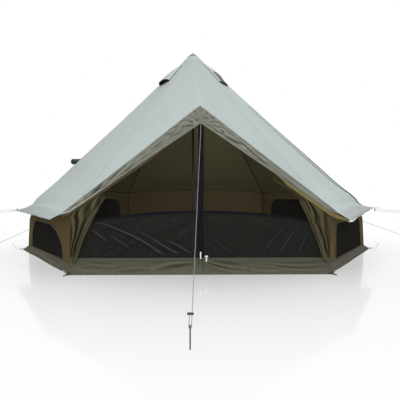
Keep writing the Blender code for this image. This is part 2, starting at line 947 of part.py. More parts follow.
def shift_origin(item, place):
    """Puts an object's origin on a place without moving the object."""
    item.data.transform(Matrix.Translation(-Vector(place)))
    item.location = place


def build_stove_jack(materials, gores):
    """Heat-proof panel with the flue port, and its rain cover rolled up above it."""
    frame = gore_frame(jack_gore, jack_share, plan_radius * jack_radius_share)
    gore = gores[jack_gore]
    jack = inlay("stove_jack", gore, jack_gore, frame, jack_length, jack_width, materials["jack"])
    point = frame[0]
    profile = [(0.0, point.z - jack_length), (port_radius, point.z - jack_length)]
    profile += [(port_radius, point.z + jack_length), (0.0, point.z + jack_length)]
    port = cutter("cut_port", turned_mesh("cut_port", profile))
    port.location = (point.x, point.y, 0.0)
    cut(jack, port)
    place, down, across, out = gore_frame(jack_gore, cover_share, plan_radius * cover_radius_share)
    lift = out * (cover_radius + seam_gap)
    start = place + lift + across * cover_overhang
    end = start - across * cover_length
    points = [start.lerp(end, step / arc_steps) for step in range(arc_steps + 1)]
    radii = [cover_radius for point in points]
    mesh = tube_mesh("stove_jack_cover", points, radii, 2 * roll_sides)
    add_object("stove_jack_cover", mesh, materials["roof"])


def build_sliders(materials):
    """Two zip sliders with hinged pulls, parked where the zips meet at the sill."""
    places = {
        "door": (0.0, slider_height),
        "sill": (sill_slider_x, sill_height + slider_width),
    }
    for name, (x, height) in places.items():
        wide, tall = (slider_width, slider_length) if name == "door" else (slider_length, slider_width)
        outline = []
        for a, b in ((-0.5, -0.5), (0.5, -0.5), (0.5, 0.5), (-0.5, 0.5)):
            place = height + b * tall
            outline.append(Vector((x + a * wide, front_y(place) - fit_gap, place)))
        push = Vector((0.0, -slider_depth, 0.0))
        body = add_object("slider_" + name, prism_mesh("slider_" + name, outline, push), materials["pull"])
        near = front_y(height) - fit_gap - slider_depth
        shift_origin(body, (x, near, height))
        hinge = Vector((x, near - seam_gap - pull_depth / 2.0, height))
        low = (x - pull_width / 2.0, hinge.y - pull_depth / 2.0, height - pull_length)
        high = (x + pull_width / 2.0, hinge.y + pull_depth / 2.0, height)
        tab = add_object("pull_" + name, box_mesh("pull_" + name, low, high), materials["pull"])
        shift_origin(tab, hinge)


def straight(start, end, count):
    return [start.lerp(end, step / count) for step in range(count + 1)]


def turn_points_between(end, along, side):
    """Half turn of a doubled line at its far end."""
    points = []
    for step in range(1, turn_points):
        angle = pi * step / turn_points
        points.append(end + side * turn_radius * (1.0 - cos(angle)) + along * turn_radius * sin(angle))
    return points


def build_runner(name, place, along, side, materials):
    """Small plate that slides on a line through one hole; the doubled end is knotted beside it."""
    third = along.cross(side)
    near = runner_hole_share
    far = 1.0 - near
    corners = [(-near, -0.5), (far, -0.5), (far, 0.5), (-near, 0.5)]
    outline = [place + side * runner_width * a + third * runner_depth * b for a, b in corners]
    outline = [point - along * runner_length / 2.0 for point in outline]
    item = add_object(name, prism_mesh(name, outline, along * runner_length), materials["plastic"])
    hole = [place - along * runner_length, place + along * runner_length]
    wide = line_radius + runner_play
    cut(item, cutter("cut_" + name, tube_mesh("cut_" + name, hole, [wide, wide], roll_sides)))


def build_front_guyline(materials):
    """Line from the door peak to the front stake, doubled back through a runner."""
    start = Vector((0.0, front_y(peak_height) - seam_gap, peak_height))
    foot = Vector((stake_x, -front_depth - stake_run, 0.0))
    top = foot + Vector((0.0, 0.0, stake_height))
    add_object("stake_front", build_stake_mesh("stake_front", foot), materials["peg"])
    along = (top - start).normalized()
    side = Vector((-1.0, 0.0, 0.0))
    side = (side - along * side.dot(along)).normalized()
    clear = stake_radius + line_radius + seam_gap
    end = top - side * clear - Vector((0.0, 0.0, stake_grip_drop))
    run = (end - start).normalized()
    runner_place = end - run * runner_from_stake
    points = straight(start, end, line_points)
    reach = (clear + line_radius) / run.xy.length
    for step in range(1, turn_points):
        angle = pi * step / turn_points
        points.append(end + side * clear * (1.0 - cos(angle)) + run * reach * sin(angle))
    back = runner_place + side * 2.0 * clear + run * (runner_length / 2.0 + fit_gap)
    points += straight(end + side * 2.0 * clear, back, turn_points)
    cord_object("guyline_front", points, line_radius, materials["front_line"])
    build_runner("runner_front", runner_place, run, side, materials)


def build_stake_mesh(name, foot):
    """Upright round stake."""
    profile = [(0.0, fit_gap), (stake_radius, fit_gap), (stake_radius, stake_height), (0.0, stake_height)]
    mesh = turned_mesh(name, profile)
    mesh.transform(Matrix.Translation(foot))
    return mesh


def side_wall_at(height):
    """Radius of the wall's outer face at a side corner, below the knee."""
    share = (height - skirt_height) / (side_seam_height - skirt_height)
    lean = knee_lean_share * share / knee_height_share
    return wall_radii["side"] + lean * (seams["side"][0] - wall_radii["side"])


def build_side_guylines(materials):
    """At each side corner: a doubled line to the eave and a single line to the wall."""
    tip_radius, tip_height = ridge_profile("side")[-1]
    for name, sign, line_run, wall_height in (
        ("left", -1.0, left_line_run, left_line_height),
        ("right", 1.0, right_line_run, right_line_height),
    ):
        foot_x = plan_radius + line_run
        out = Vector((sign, 0.0, 0.0))
        start = out * (tip_radius + seam_gap) + Vector((0.0, 0.0, tip_height))
        end = out * (plan_radius + side_line_run) + Vector((0.0, 0.0, side_line_height))
        run = (end - start).normalized()
        side = Vector((0.0, 0.0, -1.0))
        side = (side - run * side.dot(run)).normalized()
        points = straight(start, end, line_points)
        points += turn_points_between(end, run, side)
        runner_place = start + run * (runner_from_tip + side_tip_reach)
        back = runner_place + side * 2.0 * turn_radius + run * (runner_length / 2.0 + fit_gap)
        points += straight(end + side * 2.0 * turn_radius, back, line_points)
        cord_object("guyline_%s_eave" % name, points, line_radius, materials["side_line"])
        build_runner("runner_" + name, runner_place, run, side, materials)
        fall = (wall_height - line_radius) / (foot_x - wall_radii["side"])
        slant = line_radius * fall / (1.0 + fall * fall) ** 0.5
        radius = side_wall_at(wall_height) + fit_gap + slant
        start = out * radius + Vector((0.0, 0.0, wall_height))
        foot = out * foot_x
        end = foot - out * (stake_radius + fit_gap + slant) + Vector((0.0, 0.0, 2.0 * line_radius))
        points = straight(start, end, line_points)
        cord_object("guyline_%s_wall" % name, points, line_radius, materials["side_line"])
        stake = build_stake_mesh("stake_" + name, foot)
        add_object("stake_" + name, stake, materials["peg"])


def build_pegs(materials):
    """Hooked wire pegs at the skirt's four visible corners."""
    names = {0: "front_left", 1: "front_right", 2: "side_right", 5: "side_left"}
    for corner, name in names.items():
        out = corner_direction(corner)
        start = foot_radii[corner_kinds[corner]] + seam_gap
        points = []
        for step in range(peg_points + 1):
            share = step / peg_points
            reach = start + peg_length * share
            height = peg_radius + fit_gap + peg_hook * share * share
            points.append(out * reach + Vector((0.0, 0.0, height)))
        cord_object("peg_" + name, points, peg_radius, materials["peg"])


def build_materials():
    return {
        "roof": make_material("roof", (0.47, 0.52, 0.49), 0.85),
        "band": make_material("band", (0.22, 0.22, 0.18), 0.85),
        "wall": make_material("wall", (0.12, 0.08, 0.035), 0.9),
        "mesh": make_material("mesh", (0.02, 0.02, 0.018), 0.8),
        "panel": make_material("panel", (0.012, 0.012, 0.011), 0.8),
        "zip": make_material("zip", (0.015, 0.016, 0.028), 0.7),
        "skirt": make_material("skirt", (0.085, 0.085, 0.055), 0.75),
        "floor": make_material("floor", (0.03, 0.03, 0.028), 0.7),
        "pole": make_material("pole", (0.05, 0.05, 0.052), 0.4, 0.8),
        "plastic": make_material("plastic", (0.02, 0.02, 0.02), 0.5),
        "pull": make_material("pull", (0.75, 0.74, 0.7), 0.5),
        "jack": make_material("jack", (0.08, 0.08, 0.08), 0.9),
        "front_line": make_material("front_line", (0.35, 0.4, 0.45), 0.8),
        "side_line": make_material("side_line", (0.55, 0.45, 0.3), 0.8),
        "peg": make_material("peg", (0.08, 0.08, 0.08), 0.45, 0.9),
    }


def main():
    clear_scene()
    materials = build_materials()
    gores, tree = build_roof(materials)
    build_cap(materials)
    build_bands(materials)
    build_door(materials)
    build_rolls(materials)
    build_walls(materials, tree)
    build_skirt(materials)
    build_floor(materials)
    build_pole(materials)
    build_vents(materials, gores, tree)
    build_stove_jack(materials, gores)
    build_sliders(materials)
    build_front_guyline(materials)
    build_side_guylines(materials)
    build_pegs(materials)


main()
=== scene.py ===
"""Look of the six-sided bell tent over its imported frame: cloth, insect mesh, cords and trim, in metres."""

import json
from math import atan2, cos, exp, pi, radians, sin, sqrt

import bpy
from mathutils import Euler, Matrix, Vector, noise
from mathutils.bvhtree import BVHTree

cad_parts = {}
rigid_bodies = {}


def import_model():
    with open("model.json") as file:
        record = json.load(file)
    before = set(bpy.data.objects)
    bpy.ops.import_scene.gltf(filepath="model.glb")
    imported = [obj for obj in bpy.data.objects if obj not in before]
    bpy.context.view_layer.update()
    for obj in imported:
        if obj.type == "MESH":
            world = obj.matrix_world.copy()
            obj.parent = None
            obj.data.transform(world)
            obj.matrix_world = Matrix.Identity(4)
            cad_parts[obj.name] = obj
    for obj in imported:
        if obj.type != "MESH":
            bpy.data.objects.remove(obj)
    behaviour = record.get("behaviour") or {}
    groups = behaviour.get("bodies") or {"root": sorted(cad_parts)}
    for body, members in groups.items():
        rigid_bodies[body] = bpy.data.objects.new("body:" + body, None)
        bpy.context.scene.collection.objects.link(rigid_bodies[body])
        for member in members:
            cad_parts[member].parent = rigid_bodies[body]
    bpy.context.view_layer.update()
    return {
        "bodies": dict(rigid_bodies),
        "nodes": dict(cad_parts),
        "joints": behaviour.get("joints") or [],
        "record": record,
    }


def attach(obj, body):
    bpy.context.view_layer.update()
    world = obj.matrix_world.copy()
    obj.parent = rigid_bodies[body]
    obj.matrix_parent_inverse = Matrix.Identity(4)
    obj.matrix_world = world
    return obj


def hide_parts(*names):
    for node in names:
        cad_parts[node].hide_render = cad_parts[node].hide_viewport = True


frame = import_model()

# Plan, roof and eaves
SIDES = 6
POLE_SHIFT = -0.06
RING_RADIUS = 0.05
RING_HEIGHT = 2.672
APEX_HEIGHT = 2.72
CORNERS = ("front", "front", "side", "back", "back", "side")
SEAM = {"front": (2.425, 0.66), "side": (2.2125, 0.6975), "back": (2.425, 0.80)}
EAVE = {"front": (0.18, 0.075), "side": (0.17, 0.135), "back": (0.17, 0.10)}
WALL_RADIUS = {"front": 2.49, "side": 2.325, "back": 2.44}
FOOT_RADIUS = {"front": 2.5, "side": 2.41, "back": 2.47}
RIDGE_KNOTS = ((0.0, 1.0), (0.05, 0.945), (0.2, 0.79), (0.45, 0.535), (0.7, 0.29), (0.88, 0.11), (1.0, 0.0))
BEND_REACH = 0.35
BEND_DROP = 0.6
HEM_RISE = 0.05
GORES = {1: "front_right", 2: "back_right", 3: "back", 4: "back_left", 5: "front_left"}
EAVE_TIPS = {2: Vector((2.46, 0.0, 0.575)), 5: Vector((-2.4825, 0.0, 0.536))}
STRIP_CORNERS = {0: (2.744, 0.540), 1: (2.760, 0.522), 3: (2.685, 0.640), 4: (2.685, 0.640)}

# Door front
FRONT_DEPTH = 2.5 * cos(pi / 6.0)
HALF_SIDE = 1.25
PEAK_LEAN = 0.205
PEAK_HEIGHT = 1.4175
GABLE_REACH = FRONT_DEPTH - 0.245
GABLE_HEIGHT = 1.65
SILL_HEIGHT = 0.1625
POST_FOOT_X = 1.245
POST_TOP_X = 1.224
POST_TOP_HEIGHT = 0.6055
SPLIT_HEIGHT = 0.6025
SPLIT_DROOP = 0.1125
FLAP_TOP_X = 0.90
FLAP_FOOT_X = 1.2025
ZIP_WIDTH = 0.052
LAP = 0.006
SKIRT_HEIGHT = 0.1125
FOOT_LINE = {"front": SKIRT_HEIGHT, "side": 0.055, "back": SKIRT_HEIGHT}

# Shared sizes and directions
GAP = 0.0006
SKIN = 0.0026
TAPE_WIDTH = 0.026
CLOTH = 0.0014
BINDING = 0.0012
SCREEN_CLOTH = 0.0008
HOOD_SCREEN = 0.0006
INSIDE = Vector((0.0, 0.0, 0.6))
UP = Vector((0.0, 0.0, 1.0))
FRONT_OUT = Vector((0.0, -1.0, 0.0))


# Numbers that change smoothly
def clamp(value, low=0.0, high=1.0):
    return min(max(value, low), high)


def between(start, end, share):
    return start + (end - start) * share


def ease(value):
    value = clamp(value)
    return value * value * (3.0 - 2.0 * value)


def hump(value, width):
    """1 in the middle, and little more than nothing past twice the width."""
    return exp(-((value / width) ** 2))


def held(share, steep):
    """0 at both ends of a run and 1 between them."""
    return min(1.0, steep * share, steep * (1.0 - share))


def uneven(x, y, z):
    return noise.noise(Vector((x, y, z)))


def ripple(point, scale, seed):
    """Smooth uneven value from -1 to 1."""
    return noise.noise(point * scale + Vector((seed, -seed, 2.0 * seed)))


def smooth_curve(knots):
    """A function that runs smoothly through (place, value) knots."""
    places = [knot[0] for knot in knots]
    values = [knot[1] for knot in knots]
    last = len(knots) - 1
    slopes = []
    for index in range(last + 1):
        low, high = max(index - 1, 0), min(index + 1, last)
        slopes.append((values[high] - values[low]) / (places[high] - places[low]))

    def value(place):
        index = 0
        while index < last - 1 and place > places[index + 1]:
            index += 1
        width = places[index + 1] - places[index]
        share = (place - places[index]) / width
        square = share * share
        cube = square * share
        result = values[index] * (2.0 * cube - 3.0 * square + 1.0)
        result += slopes[index] * width * (cube - 2.0 * square + share)
        result += values[index + 1] * (3.0 * square - 2.0 * cube)
        return result + slopes[index + 1] * width * (cube - square)

    return value


def smooth_path(knots):
    """Curves through knots against the run along them, one for each axis, and the whole run."""
    knots = [Vector(knot) for knot in knots]
    spans = [0.0]
    for a, b in zip(knots, knots[1:]):
        spans.append(spans[-1] + (b - a).length)
    return [smooth_curve([*zip(spans, axis)]) for axis in zip(*knots)], spans[-1]


# Materials
def set_inputs(tree, sockets, values):
    """Links each socket to another, or sets it to a value."""
    for key, value in values.items():
        if isinstance(value, bpy.types.NodeSocket):
            tree.links.new(value, sockets[key])
        else:
            sockets[key].default_value = value


def node(tree, kind, inputs=None, **settings):
    """Adds a node and hands back its outputs."""
    made = tree.nodes.new(kind if tree.type == "GEOMETRY" else "ShaderNode" + kind)
    for key, value in settings.items():
        setattr(made, key, value)
    set_inputs(tree, made.inputs, inputs or {})
    return made.outputs


def maths(tree, operation, first, second=0.0, third=0.0):
    return node(tree, "Math", {0: first, 1: second, 2: third}, operation=operation)[0]


def vector_maths(tree, operation, inputs):
    return node(tree, "VectorMath", inputs, operation=operation)[0]


def shader_group(name, inputs, outputs):
    """An empty shader group with named sockets, and its given inputs and wanted outputs."""
    tree = bpy.data.node_groups.new(name, "ShaderNodeTree")
    for label, value in inputs.items():
        kind = "Float" if isinstance(value, float) else "Color" if value else "Vector"
        socket = tree.interface.new_socket(label, in_out="INPUT", socket_type="NodeSocket" + kind)
        if value is not None:
            socket.default_value = value
    for label, kind in outputs.items():
        tree.interface.new_socket(label, in_out="OUTPUT", socket_type="NodeSocket" + kind)
    return tree, tree.nodes.new("NodeGroupInput").outputs, tree.nodes.new("NodeGroupOutput").inputs


def weave_group():
    """Plain weave: threads that pass over and under each other."""
    tree, given, result = shader_group(
        "plain_weave", {"Vector": None, "Thread": 0.001, "Slub": 0.5}, {"Height": "Float", "Tone": "Float"}
    )
    scaled = vector_maths(tree, "DIVIDE", {0: given["Vector"], 1: given["Thread"]})
    parts = node(tree, "SeparateXYZ", {0: scaled})
    waves = [maths(tree, "SINE", maths(tree, "MULTIPLY", parts[axis], pi)) for axis in (0, 1)]
    warp, weft = [maths(tree, "ABSOLUTE", wave) for wave in waves]
    steps = [maths(tree, "FLOOR", parts[axis]) for axis in (0, 1)]
    parity = maths(tree, "FLOORED_MODULO", maths(tree, "ADD", *steps), 2.0)
    warp = maths(tree, "MULTIPLY", warp, maths(tree, "MULTIPLY_ADD", parity, 0.45, 0.55))
    weft = maths(tree, "MULTIPLY", weft, maths(tree, "MULTIPLY_ADD", parity, -0.45, 1.0))
    grains = []
    for stretch in ((0.5, 0.004, 1.0), (0.004, 0.5, 1.0)):
        drawn = vector_maths(tree, "MULTIPLY", {0: scaled, 1: stretch})
        grains.append(node(tree, "TexNoise", {"Vector": drawn, "Scale": 1.0, "Detail": 2.0})[0])
    both = maths(tree, "ADD", maths(tree, "ADD", *grains), -1.0)
    tone = maths(tree, "MULTIPLY_ADD", both, given["Slub"], 1.0)
    set_inputs(tree, result, {"Height": maths(tree, "MAXIMUM", warp, weft), "Tone": tone})
    return tree


def soil_group():
    """Uneven tone of used cloth: broad blotches, and dust that has settled near the ground."""
    tree, given, result = shader_group(
        "used_cloth",
        {"Place": None, "Colour": (0.5, 0.5, 0.5, 1.0), "Blotch": 0.1, "Dust": 0.3, "Dust Top": 0.12},
        {"Colour": "Color", "Mask": "Float"},
    )
    place = given["Place"]
    broad = node(tree, "TexNoise", {"Vector": place, "Scale": 2.3, "Detail": 5.0})[0]
    tone = maths(tree, "MULTIPLY_ADD", maths(tree, "ADD", broad, -0.5), given["Blotch"], 1.0)
    scaled = vector_maths(tree, "SCALE", {0: given["Colour"], "Scale": tone})
    height = node(tree, "SeparateXYZ", {0: place})[2]
    fade = maths(tree, "SUBTRACT", 1.0, maths(tree, "DIVIDE", height, given["Dust Top"]))
    fine = node(tree, "TexNoise", {"Vector": place, "Scale": 31.0, "Detail": 6.0})[0]
    speck = maths(tree, "MULTIPLY_ADD", fine, 1.6, -0.3)
    clamped = node(tree, "Clamp", {"Value": maths(tree, "MULTIPLY", fade, speck)})[0]
    mask = maths(tree, "MULTIPLY", clamped, given["Dust"])
    mixed = node(tree, "Mix", {0: mask, 6: scaled, 7: (0.34, 0.31, 0.25, 1.0)}, data_type="RGBA")[2]
    set_inputs(tree, result, {"Colour": mixed, "Mask": mask})
    return tree


def crease_group():
    """Fine creases of cloth that has been folded: long soft wrinkles and short crumples."""
    tree, given, result = shader_group(
        "cloth_creases", {"Vector": None, "Size": 0.08, "Crumple": 0.4}, {"Height": "Float"}
    )
    scaled = vector_maths(tree, "DIVIDE", {0: given["Vector"], 1: given["Size"]})
    soft = node(tree, "TexNoise", {"Vector": scaled, "Scale": 1.0, "Detail": 3.0, "Distortion": 0.8})[0]
    ridge = maths(tree, "ABSOLUTE", maths(tree, "MULTIPLY_ADD", soft, 2.0, -1.0))
    crumple = node(tree, "TexNoise", {"Vector": scaled, "Scale": 3.7, "Detail": 4.0})[0]
    set_inputs(tree, result, {"Height": maths(tree, "MULTIPLY_ADD", crumple, given["Crumple"], ridge)})
    return tree


def screen_group():
    """Insect mesh: how much of it is thread."""
    tree, given, result = shader_group(
        "screen_threads", {"Vector": None, "Pitch": 0.0016, "Thread": 0.35}, {"Mask": "Float"}
    )
    parts = node(tree, "SeparateXYZ", {0: vector_maths(tree, "DIVIDE", {0: given["Vector"], 1: given["Pitch"]})})
    lines = [maths(tree, "LESS_THAN", maths(tree, "FRACT", parts[axis]), given["Thread"]) for axis in (0, 1)]
    set_inputs(tree, result, {"Mask": maths(tree, "MAXIMUM", *lines)})
    return tree


def braid_group():
    """Diagonal strands of a braided cord, from places along and round it."""
    tree, given, result = shader_group("cord_braid", {"Vector": None, "Strand": 0.003}, {"Height": "Float"})
    parts = node(tree, "SeparateXYZ", {0: vector_maths(tree, "DIVIDE", {0: given["Vector"], 1: given["Strand"]})})
    round_it = maths(tree, "ADD", parts[1], parts[2])
    strands = [maths(tree, operation, parts[0], round_it) for operation in ("ADD", "SUBTRACT")]
    waves = [maths(tree, "ABSOLUTE", maths(tree, "SINE", maths(tree, "MULTIPLY", item, pi))) for item in strands]
    set_inputs(tree, result, {"Height": maths(tree, "MULTIPLY", *waves)})
    return tree


WEAVE = weave_group()
SOIL = soil_group()
CREASE = crease_group()
SCREEN = screen_group()
BRAID = braid_group()


def new_material(name, inputs):
    material = bpy.data.materials.new(name)
    material.use_nodes = True
    tree = material.node_tree
    sockets = tree.nodes["Principled BSDF"].inputs
    set_inputs(tree, sockets, inputs)
    return material, tree, sockets


def soiled(tree, colour, blotch, dust):
    """The object's own places, and a colour made uneven over them."""
    place = node(tree, "TexCoord")["Object"]
    inputs = {"Place": place, "Colour": (*colour, 1.0), "Blotch": blotch, "Dust": dust}
    return place, node(tree, "Group", inputs, node_tree=SOIL)["Colour"]


def bumped(tree, height, distance, strength, under=None):
    inputs = {"Height": height, "Distance": distance, "Strength": strength}
    if under is not None:
        inputs["Normal"] = under
    return node(tree, "Bump", inputs)[0]


def creased(tree, place, size, crumple, depth, strength):
    creases = node(tree, "Group", {"Vector": place, "Size": size, "Crumple": crumple}, node_tree=CREASE)
    return bumped(tree, creases["Height"], depth, strength)


def cloth_material(
    name, colour, thread=0.0011, relief=0.0004, blotch=0.12, dust=0.1, crease=0.3, depth=0.004, rough=0.88, sheen=0.02
):
    """Woven cloth whose threads follow its own map, with creases, uneven tone, painted shade and highlight from the
    sheet's points, and a soft sheen.
    """
    fixed = {"Sheen Weight": sheen, "Sheen Roughness": 0.6, "Specular IOR Level": 0.06}
    material, tree, sockets = new_material(name, fixed)
    own = node(tree, "UVMap", uv_map="cloth")[0]
    place, colour = soiled(tree, colour, blotch, dust)
    weave = node(tree, "Group", {"Vector": own, "Thread": thread, "Slub": 0.35}, node_tree=WEAVE)
    # Painted shade in the sheet's hollows and painted highlight on its crests scale the colour.
    folds = node(tree, "Attribute", attribute_name="painted_light_and_tone")["Fac"]
    tone = maths(tree, "MULTIPLY_ADD", weave["Tone"], folds, weave["Tone"])
    broad = creased(tree, place, crease, 0.35, depth, 0.8)
    outputs = {
        "Base Color": vector_maths(tree, "SCALE", {0: colour, "Scale": tone}),
        "Normal": bumped(tree, weave["Height"], relief, 0.6, broad),
        "Roughness": maths(tree, "MULTIPLY_ADD", weave["Height"], -0.12, rough + 0.06),
    }
    set_inputs(tree, sockets, outputs)
    return material


def screen_material(name, colour, thread, gap_alpha, pitch=0.0016, depth=0.004, rough=0.7, sheen=0.0):
    """Insect mesh that shows what is behind it between its threads, with a painted pale blue highlight on the crests
    of its folds.
    """
    fixed = {"Roughness": rough, "Specular IOR Level": 0.0, "Sheen Weight": sheen, "Sheen Roughness": 0.22}
    material, tree, sockets = new_material(name, fixed)
    own = node(tree, "UVMap", uv_map="cloth")[0]
    place, colour = soiled(tree, colour, 0.25, 0.05)
    # Painted highlight: the colour turns pale blue (Color2) on the sheet's fold crests.
    folds = node(tree, "Attribute", attribute_name="painted_light_and_tone")["Fac"]
    inputs = {"Fac": maths(tree, "MULTIPLY", folds, 0.9), "Color1": colour, "Color2": (0.075, 0.10, 0.13, 1.0)}
    threads = node(tree, "Group", {"Vector": own, "Pitch": pitch, "Thread": thread}, node_tree=SCREEN)
    outputs = {
        "Base Color": node(tree, "MixRGB", inputs)[0],
        "Alpha": maths(tree, "MULTIPLY_ADD", threads["Mask"], 1.0 - gap_alpha, gap_alpha),
        "Normal": creased(tree, place, 0.11, 0.2, depth, 0.7),
        "Sheen Tint": (0.62, 0.76, 1.0, 1.0),
    }
    set_inputs(tree, sockets, outputs)
    return material


def solid_material(name, colour, rough, metallic=0.0, grain=90.0, wear=0.12):
    """Moulded plastic or metal with a fine grain, rubbed paler in places."""
    material, tree, sockets = new_material(name, {"Metallic": metallic})
    place, colour = soiled(tree, colour, 0.3, wear)
    fine = node(tree, "TexNoise", {"Vector": place, "Scale": grain, "Detail": 5.0})[0]
    outputs = {
        "Base Color": colour,
        "Normal": bumped(tree, fine, 0.0002, 0.5),
        "Roughness": maths(tree, "MULTIPLY_ADD", fine, 0.16, rough - 0.08),
    }
    set_inputs(tree, sockets, outputs)
    return material


def cord_material(name, colour):
    """Braided cord, darker between its strands as painted shade."""
    material, tree, sockets = new_material(name, {"Roughness": 0.75, "Sheen Weight": 0.3})
    place, colour = soiled(tree, colour, 0.2, 0.2)
    height = node(tree, "Group", {"Vector": place, "Strand": 0.003}, node_tree=BRAID)["Height"]
    # Painted shade between the strands.
    tone = maths(tree, "MULTIPLY_ADD", height, 0.45, 0.7)
    scaled = vector_maths(tree, "SCALE", {0: colour, "Scale": tone})
    set_inputs(tree, sockets, {"Base Color": scaled, "Normal": bumped(tree, height, 0.0006, 0.8)})
    return material


ROOF = cloth_material("sage_canvas", (0.49, 0.56, 0.545), blotch=0.06, dust=0.0, crease=0.35, rough=0.82, sheen=0.12)
LINING = cloth_material("olive_lining", (0.36, 0.32, 0.17), blotch=0.10)
INNER = cloth_material("inner_wall_cloth", (0.30, 0.235, 0.125), crease=0.25)
# Olive-tan inner face of the door flaps, darkened as painted shade of the eave over the door front.
FLAP = cloth_material(
    "flap_canvas", (0.060, 0.052, 0.026), 0.0010, blotch=0.16, crease=0.12, depth=0.008, rough=0.85, sheen=0.03
)
# Grey-green band cloth, its colour set darker than its lit tone as painted shade of the overhang.
BAND = cloth_material("band_canvas", (0.165, 0.172, 0.138), 0.0010, crease=0.14, depth=0.007, rough=0.85, sheen=0.05)
WALL = cloth_material("brown_canvas", (0.100, 0.070, 0.019), 0.0010, blotch=0.16, dust=0.2, crease=0.16, depth=0.006)
TRIM = cloth_material(
    "tan_binding", (0.070, 0.056, 0.028), 0.0012, dust=0.2, crease=0.05, depth=0.002, rough=0.85, sheen=0.03
)
YELLOW = cloth_material("yellow_lining", (0.185, 0.150, 0.045), crease=0.20, rough=0.85, sheen=0.1)
SKIRT = cloth_material(
    "skirt_cloth", (0.078, 0.077, 0.054), 0.0008, 0.0003, dust=0.25, crease=0.18, depth=0.006, rough=0.68, sheen=0.0
)
FLOOR = cloth_material(
    "floor_cloth", (0.045, 0.045, 0.042), 0.0008, 0.0003, blotch=0.15, dust=0.3, depth=0.003, rough=0.6, sheen=0.0
)
TAPE = cloth_material(
    "navy_tape", (0.0055, 0.0056, 0.0085), 0.0014, 0.0005, blotch=0.1, crease=0.06, depth=0.002, rough=0.75, sheen=0.0
)
WEBBING = cloth_material(
    "dark_webbing", (0.035, 0.036, 0.035), 0.0018, 0.0008, 0.1, 0.2, crease=0.05, depth=0.001, rough=0.75, sheen=0.1
)
TAN_WEB = cloth_material(
    "tan_webbing", (0.42, 0.30, 0.17), 0.0018, 0.0006, 0.1, 0.2, crease=0.05, depth=0.001, rough=0.8, sheen=0.1
)
HEAT = cloth_material(
    "heat_proof_cloth", (0.13, 0.13, 0.13), 0.0016, 0.0006, dust=0.0, crease=0.1, depth=0.003, rough=0.7, sheen=0.0
)
PALE_EDGE = cloth_material(
    "pale_edge", (0.36, 0.38, 0.35), 0.0010, blotch=0.10, crease=0.05, depth=0.002, rough=0.85, sheen=0.05
)
# Pale blue-white copy of the roof cloth, a painted highlight on the curled hem at the eave's corner.
HIGHLIGHT_HEM = cloth_material(
    "painted_highlight_hem", (0.70, 0.77, 0.84), blotch=0.05, dust=0.0, crease=0.05, depth=0.002, rough=0.8, sheen=0.05
)
SEAM_SHADE = cloth_material(
    "seam_shade", (0.075, 0.088, 0.080), blotch=0.1, crease=0.1, depth=0.002, rough=0.85, sheen=0.05
)
SCREEN_DARK = screen_material("insect_mesh", (0.010, 0.009, 0.007), 0.10, 0.05)
# Dark window mesh, its gaps made nearly opaque as painted shade of the tent's inside.
SCREEN_WINDOW = screen_material("window_mesh", (0.022, 0.0205, 0.0185), 0.40, 0.86)
SCREEN_GREY = screen_material("grey_mesh", (0.22, 0.24, 0.235), 0.40, 0.80)
SCREEN_DENSE = screen_material(
    "dense_mesh", (0.018, 0.0175, 0.0155), 0.55, 0.72, pitch=0.0011, depth=0.006, rough=0.5, sheen=0.9
)
THREAD_DARK = solid_material("brown_thread", (0.19, 0.16, 0.10), 0.8)
THREAD_SEAM = solid_material("seam_thread", (0.42, 0.48, 0.465), 0.8)
TEETH = solid_material("zip_teeth", (0.010, 0.011, 0.016), 0.5)
POLE = solid_material("pole_tube", (0.035, 0.036, 0.038), 0.35, 0.85, 40.0)
BLACK = solid_material("black_plastic", (0.018, 0.018, 0.019), 0.45)
PULL = solid_material("white_plastic", (0.78, 0.78, 0.76), 0.45, wear=0.0)
STEEL = solid_material("dark_steel", (0.10, 0.10, 0.11), 0.35, 0.9)
BRIGHT = solid_material("bright_steel", (0.55, 0.56, 0.58), 0.3, 0.9)
GREY_CORD = cord_material("grey_cord", (0.20, 0.22, 0.30))
TAN_CORD = cord_material("tan_cord", (0.50, 0.42, 0.30))
BROWN_CORD = cord_material("brown_cord", (0.13, 0.09, 0.065))


# Roof form
def level_way(point):
    return Vector((point.x, point.y, 0.0)).normalized()


def sides_of(index):
    return index, (index + 1) % SIDES


def corner_direction(index):
    angle = radians(-120.0) + 2.0 * pi * index / SIDES
    return Vector((cos(angle), sin(angle), 0.0))


def ridge_heights(kind):
    seam_radius, seam_height = SEAM[kind]
    reach, drop = EAVE[kind]
    knots = []
    for radius_share, height_share in RIDGE_KNOTS:
        radius = between(RING_RADIUS, seam_radius, radius_share)
        knots.append((radius, between(seam_height, RING_HEIGHT, height_share)))
    knots.append((seam_radius + BEND_REACH * reach, seam_height - BEND_DROP * drop))
    knots.append((seam_radius + reach, seam_height - drop))
    return smooth_curve(knots)


HEIGHTS = {kind: ridge_heights(kind) for kind in SEAM}


def ridge_radius(kind, s):
    """Radius on a ridge: s is 0 at the top ring, 1 at the wall seam and 2 at the hem."""
    if s <= 1.0:
        return between(RING_RADIUS, SEAM[kind][0], s)
    return SEAM[kind][0] + (s - 1.0) * EAVE[kind][0]


def ridge_share(corner, radius):
    """How far down its ridge a radius lies."""
    return (radius - RING_RADIUS) / (SEAM[CORNERS[corner]][0] - RING_RADIUS)


def ridge_point(corner, s):
    kind = CORNERS[corner]
    radius = ridge_radius(kind, s)
    point = corner_direction(corner) * radius
    point.x += POLE_SHIFT * max(0.0, 1.0 - s)
    point.z = HEIGHTS[kind](radius)
    return point


def crease_point(s):
    share = (ridge_radius("front", s) - RING_RADIUS) / (ridge_radius("front", 2.0) - RING_RADIUS)
    start = Vector((POLE_SHIFT, -RING_RADIUS * cos(pi / SIDES), RING_HEIGHT))
    return start.lerp(Vector((0.0, -GABLE_REACH, GABLE_HEIGHT)), share)


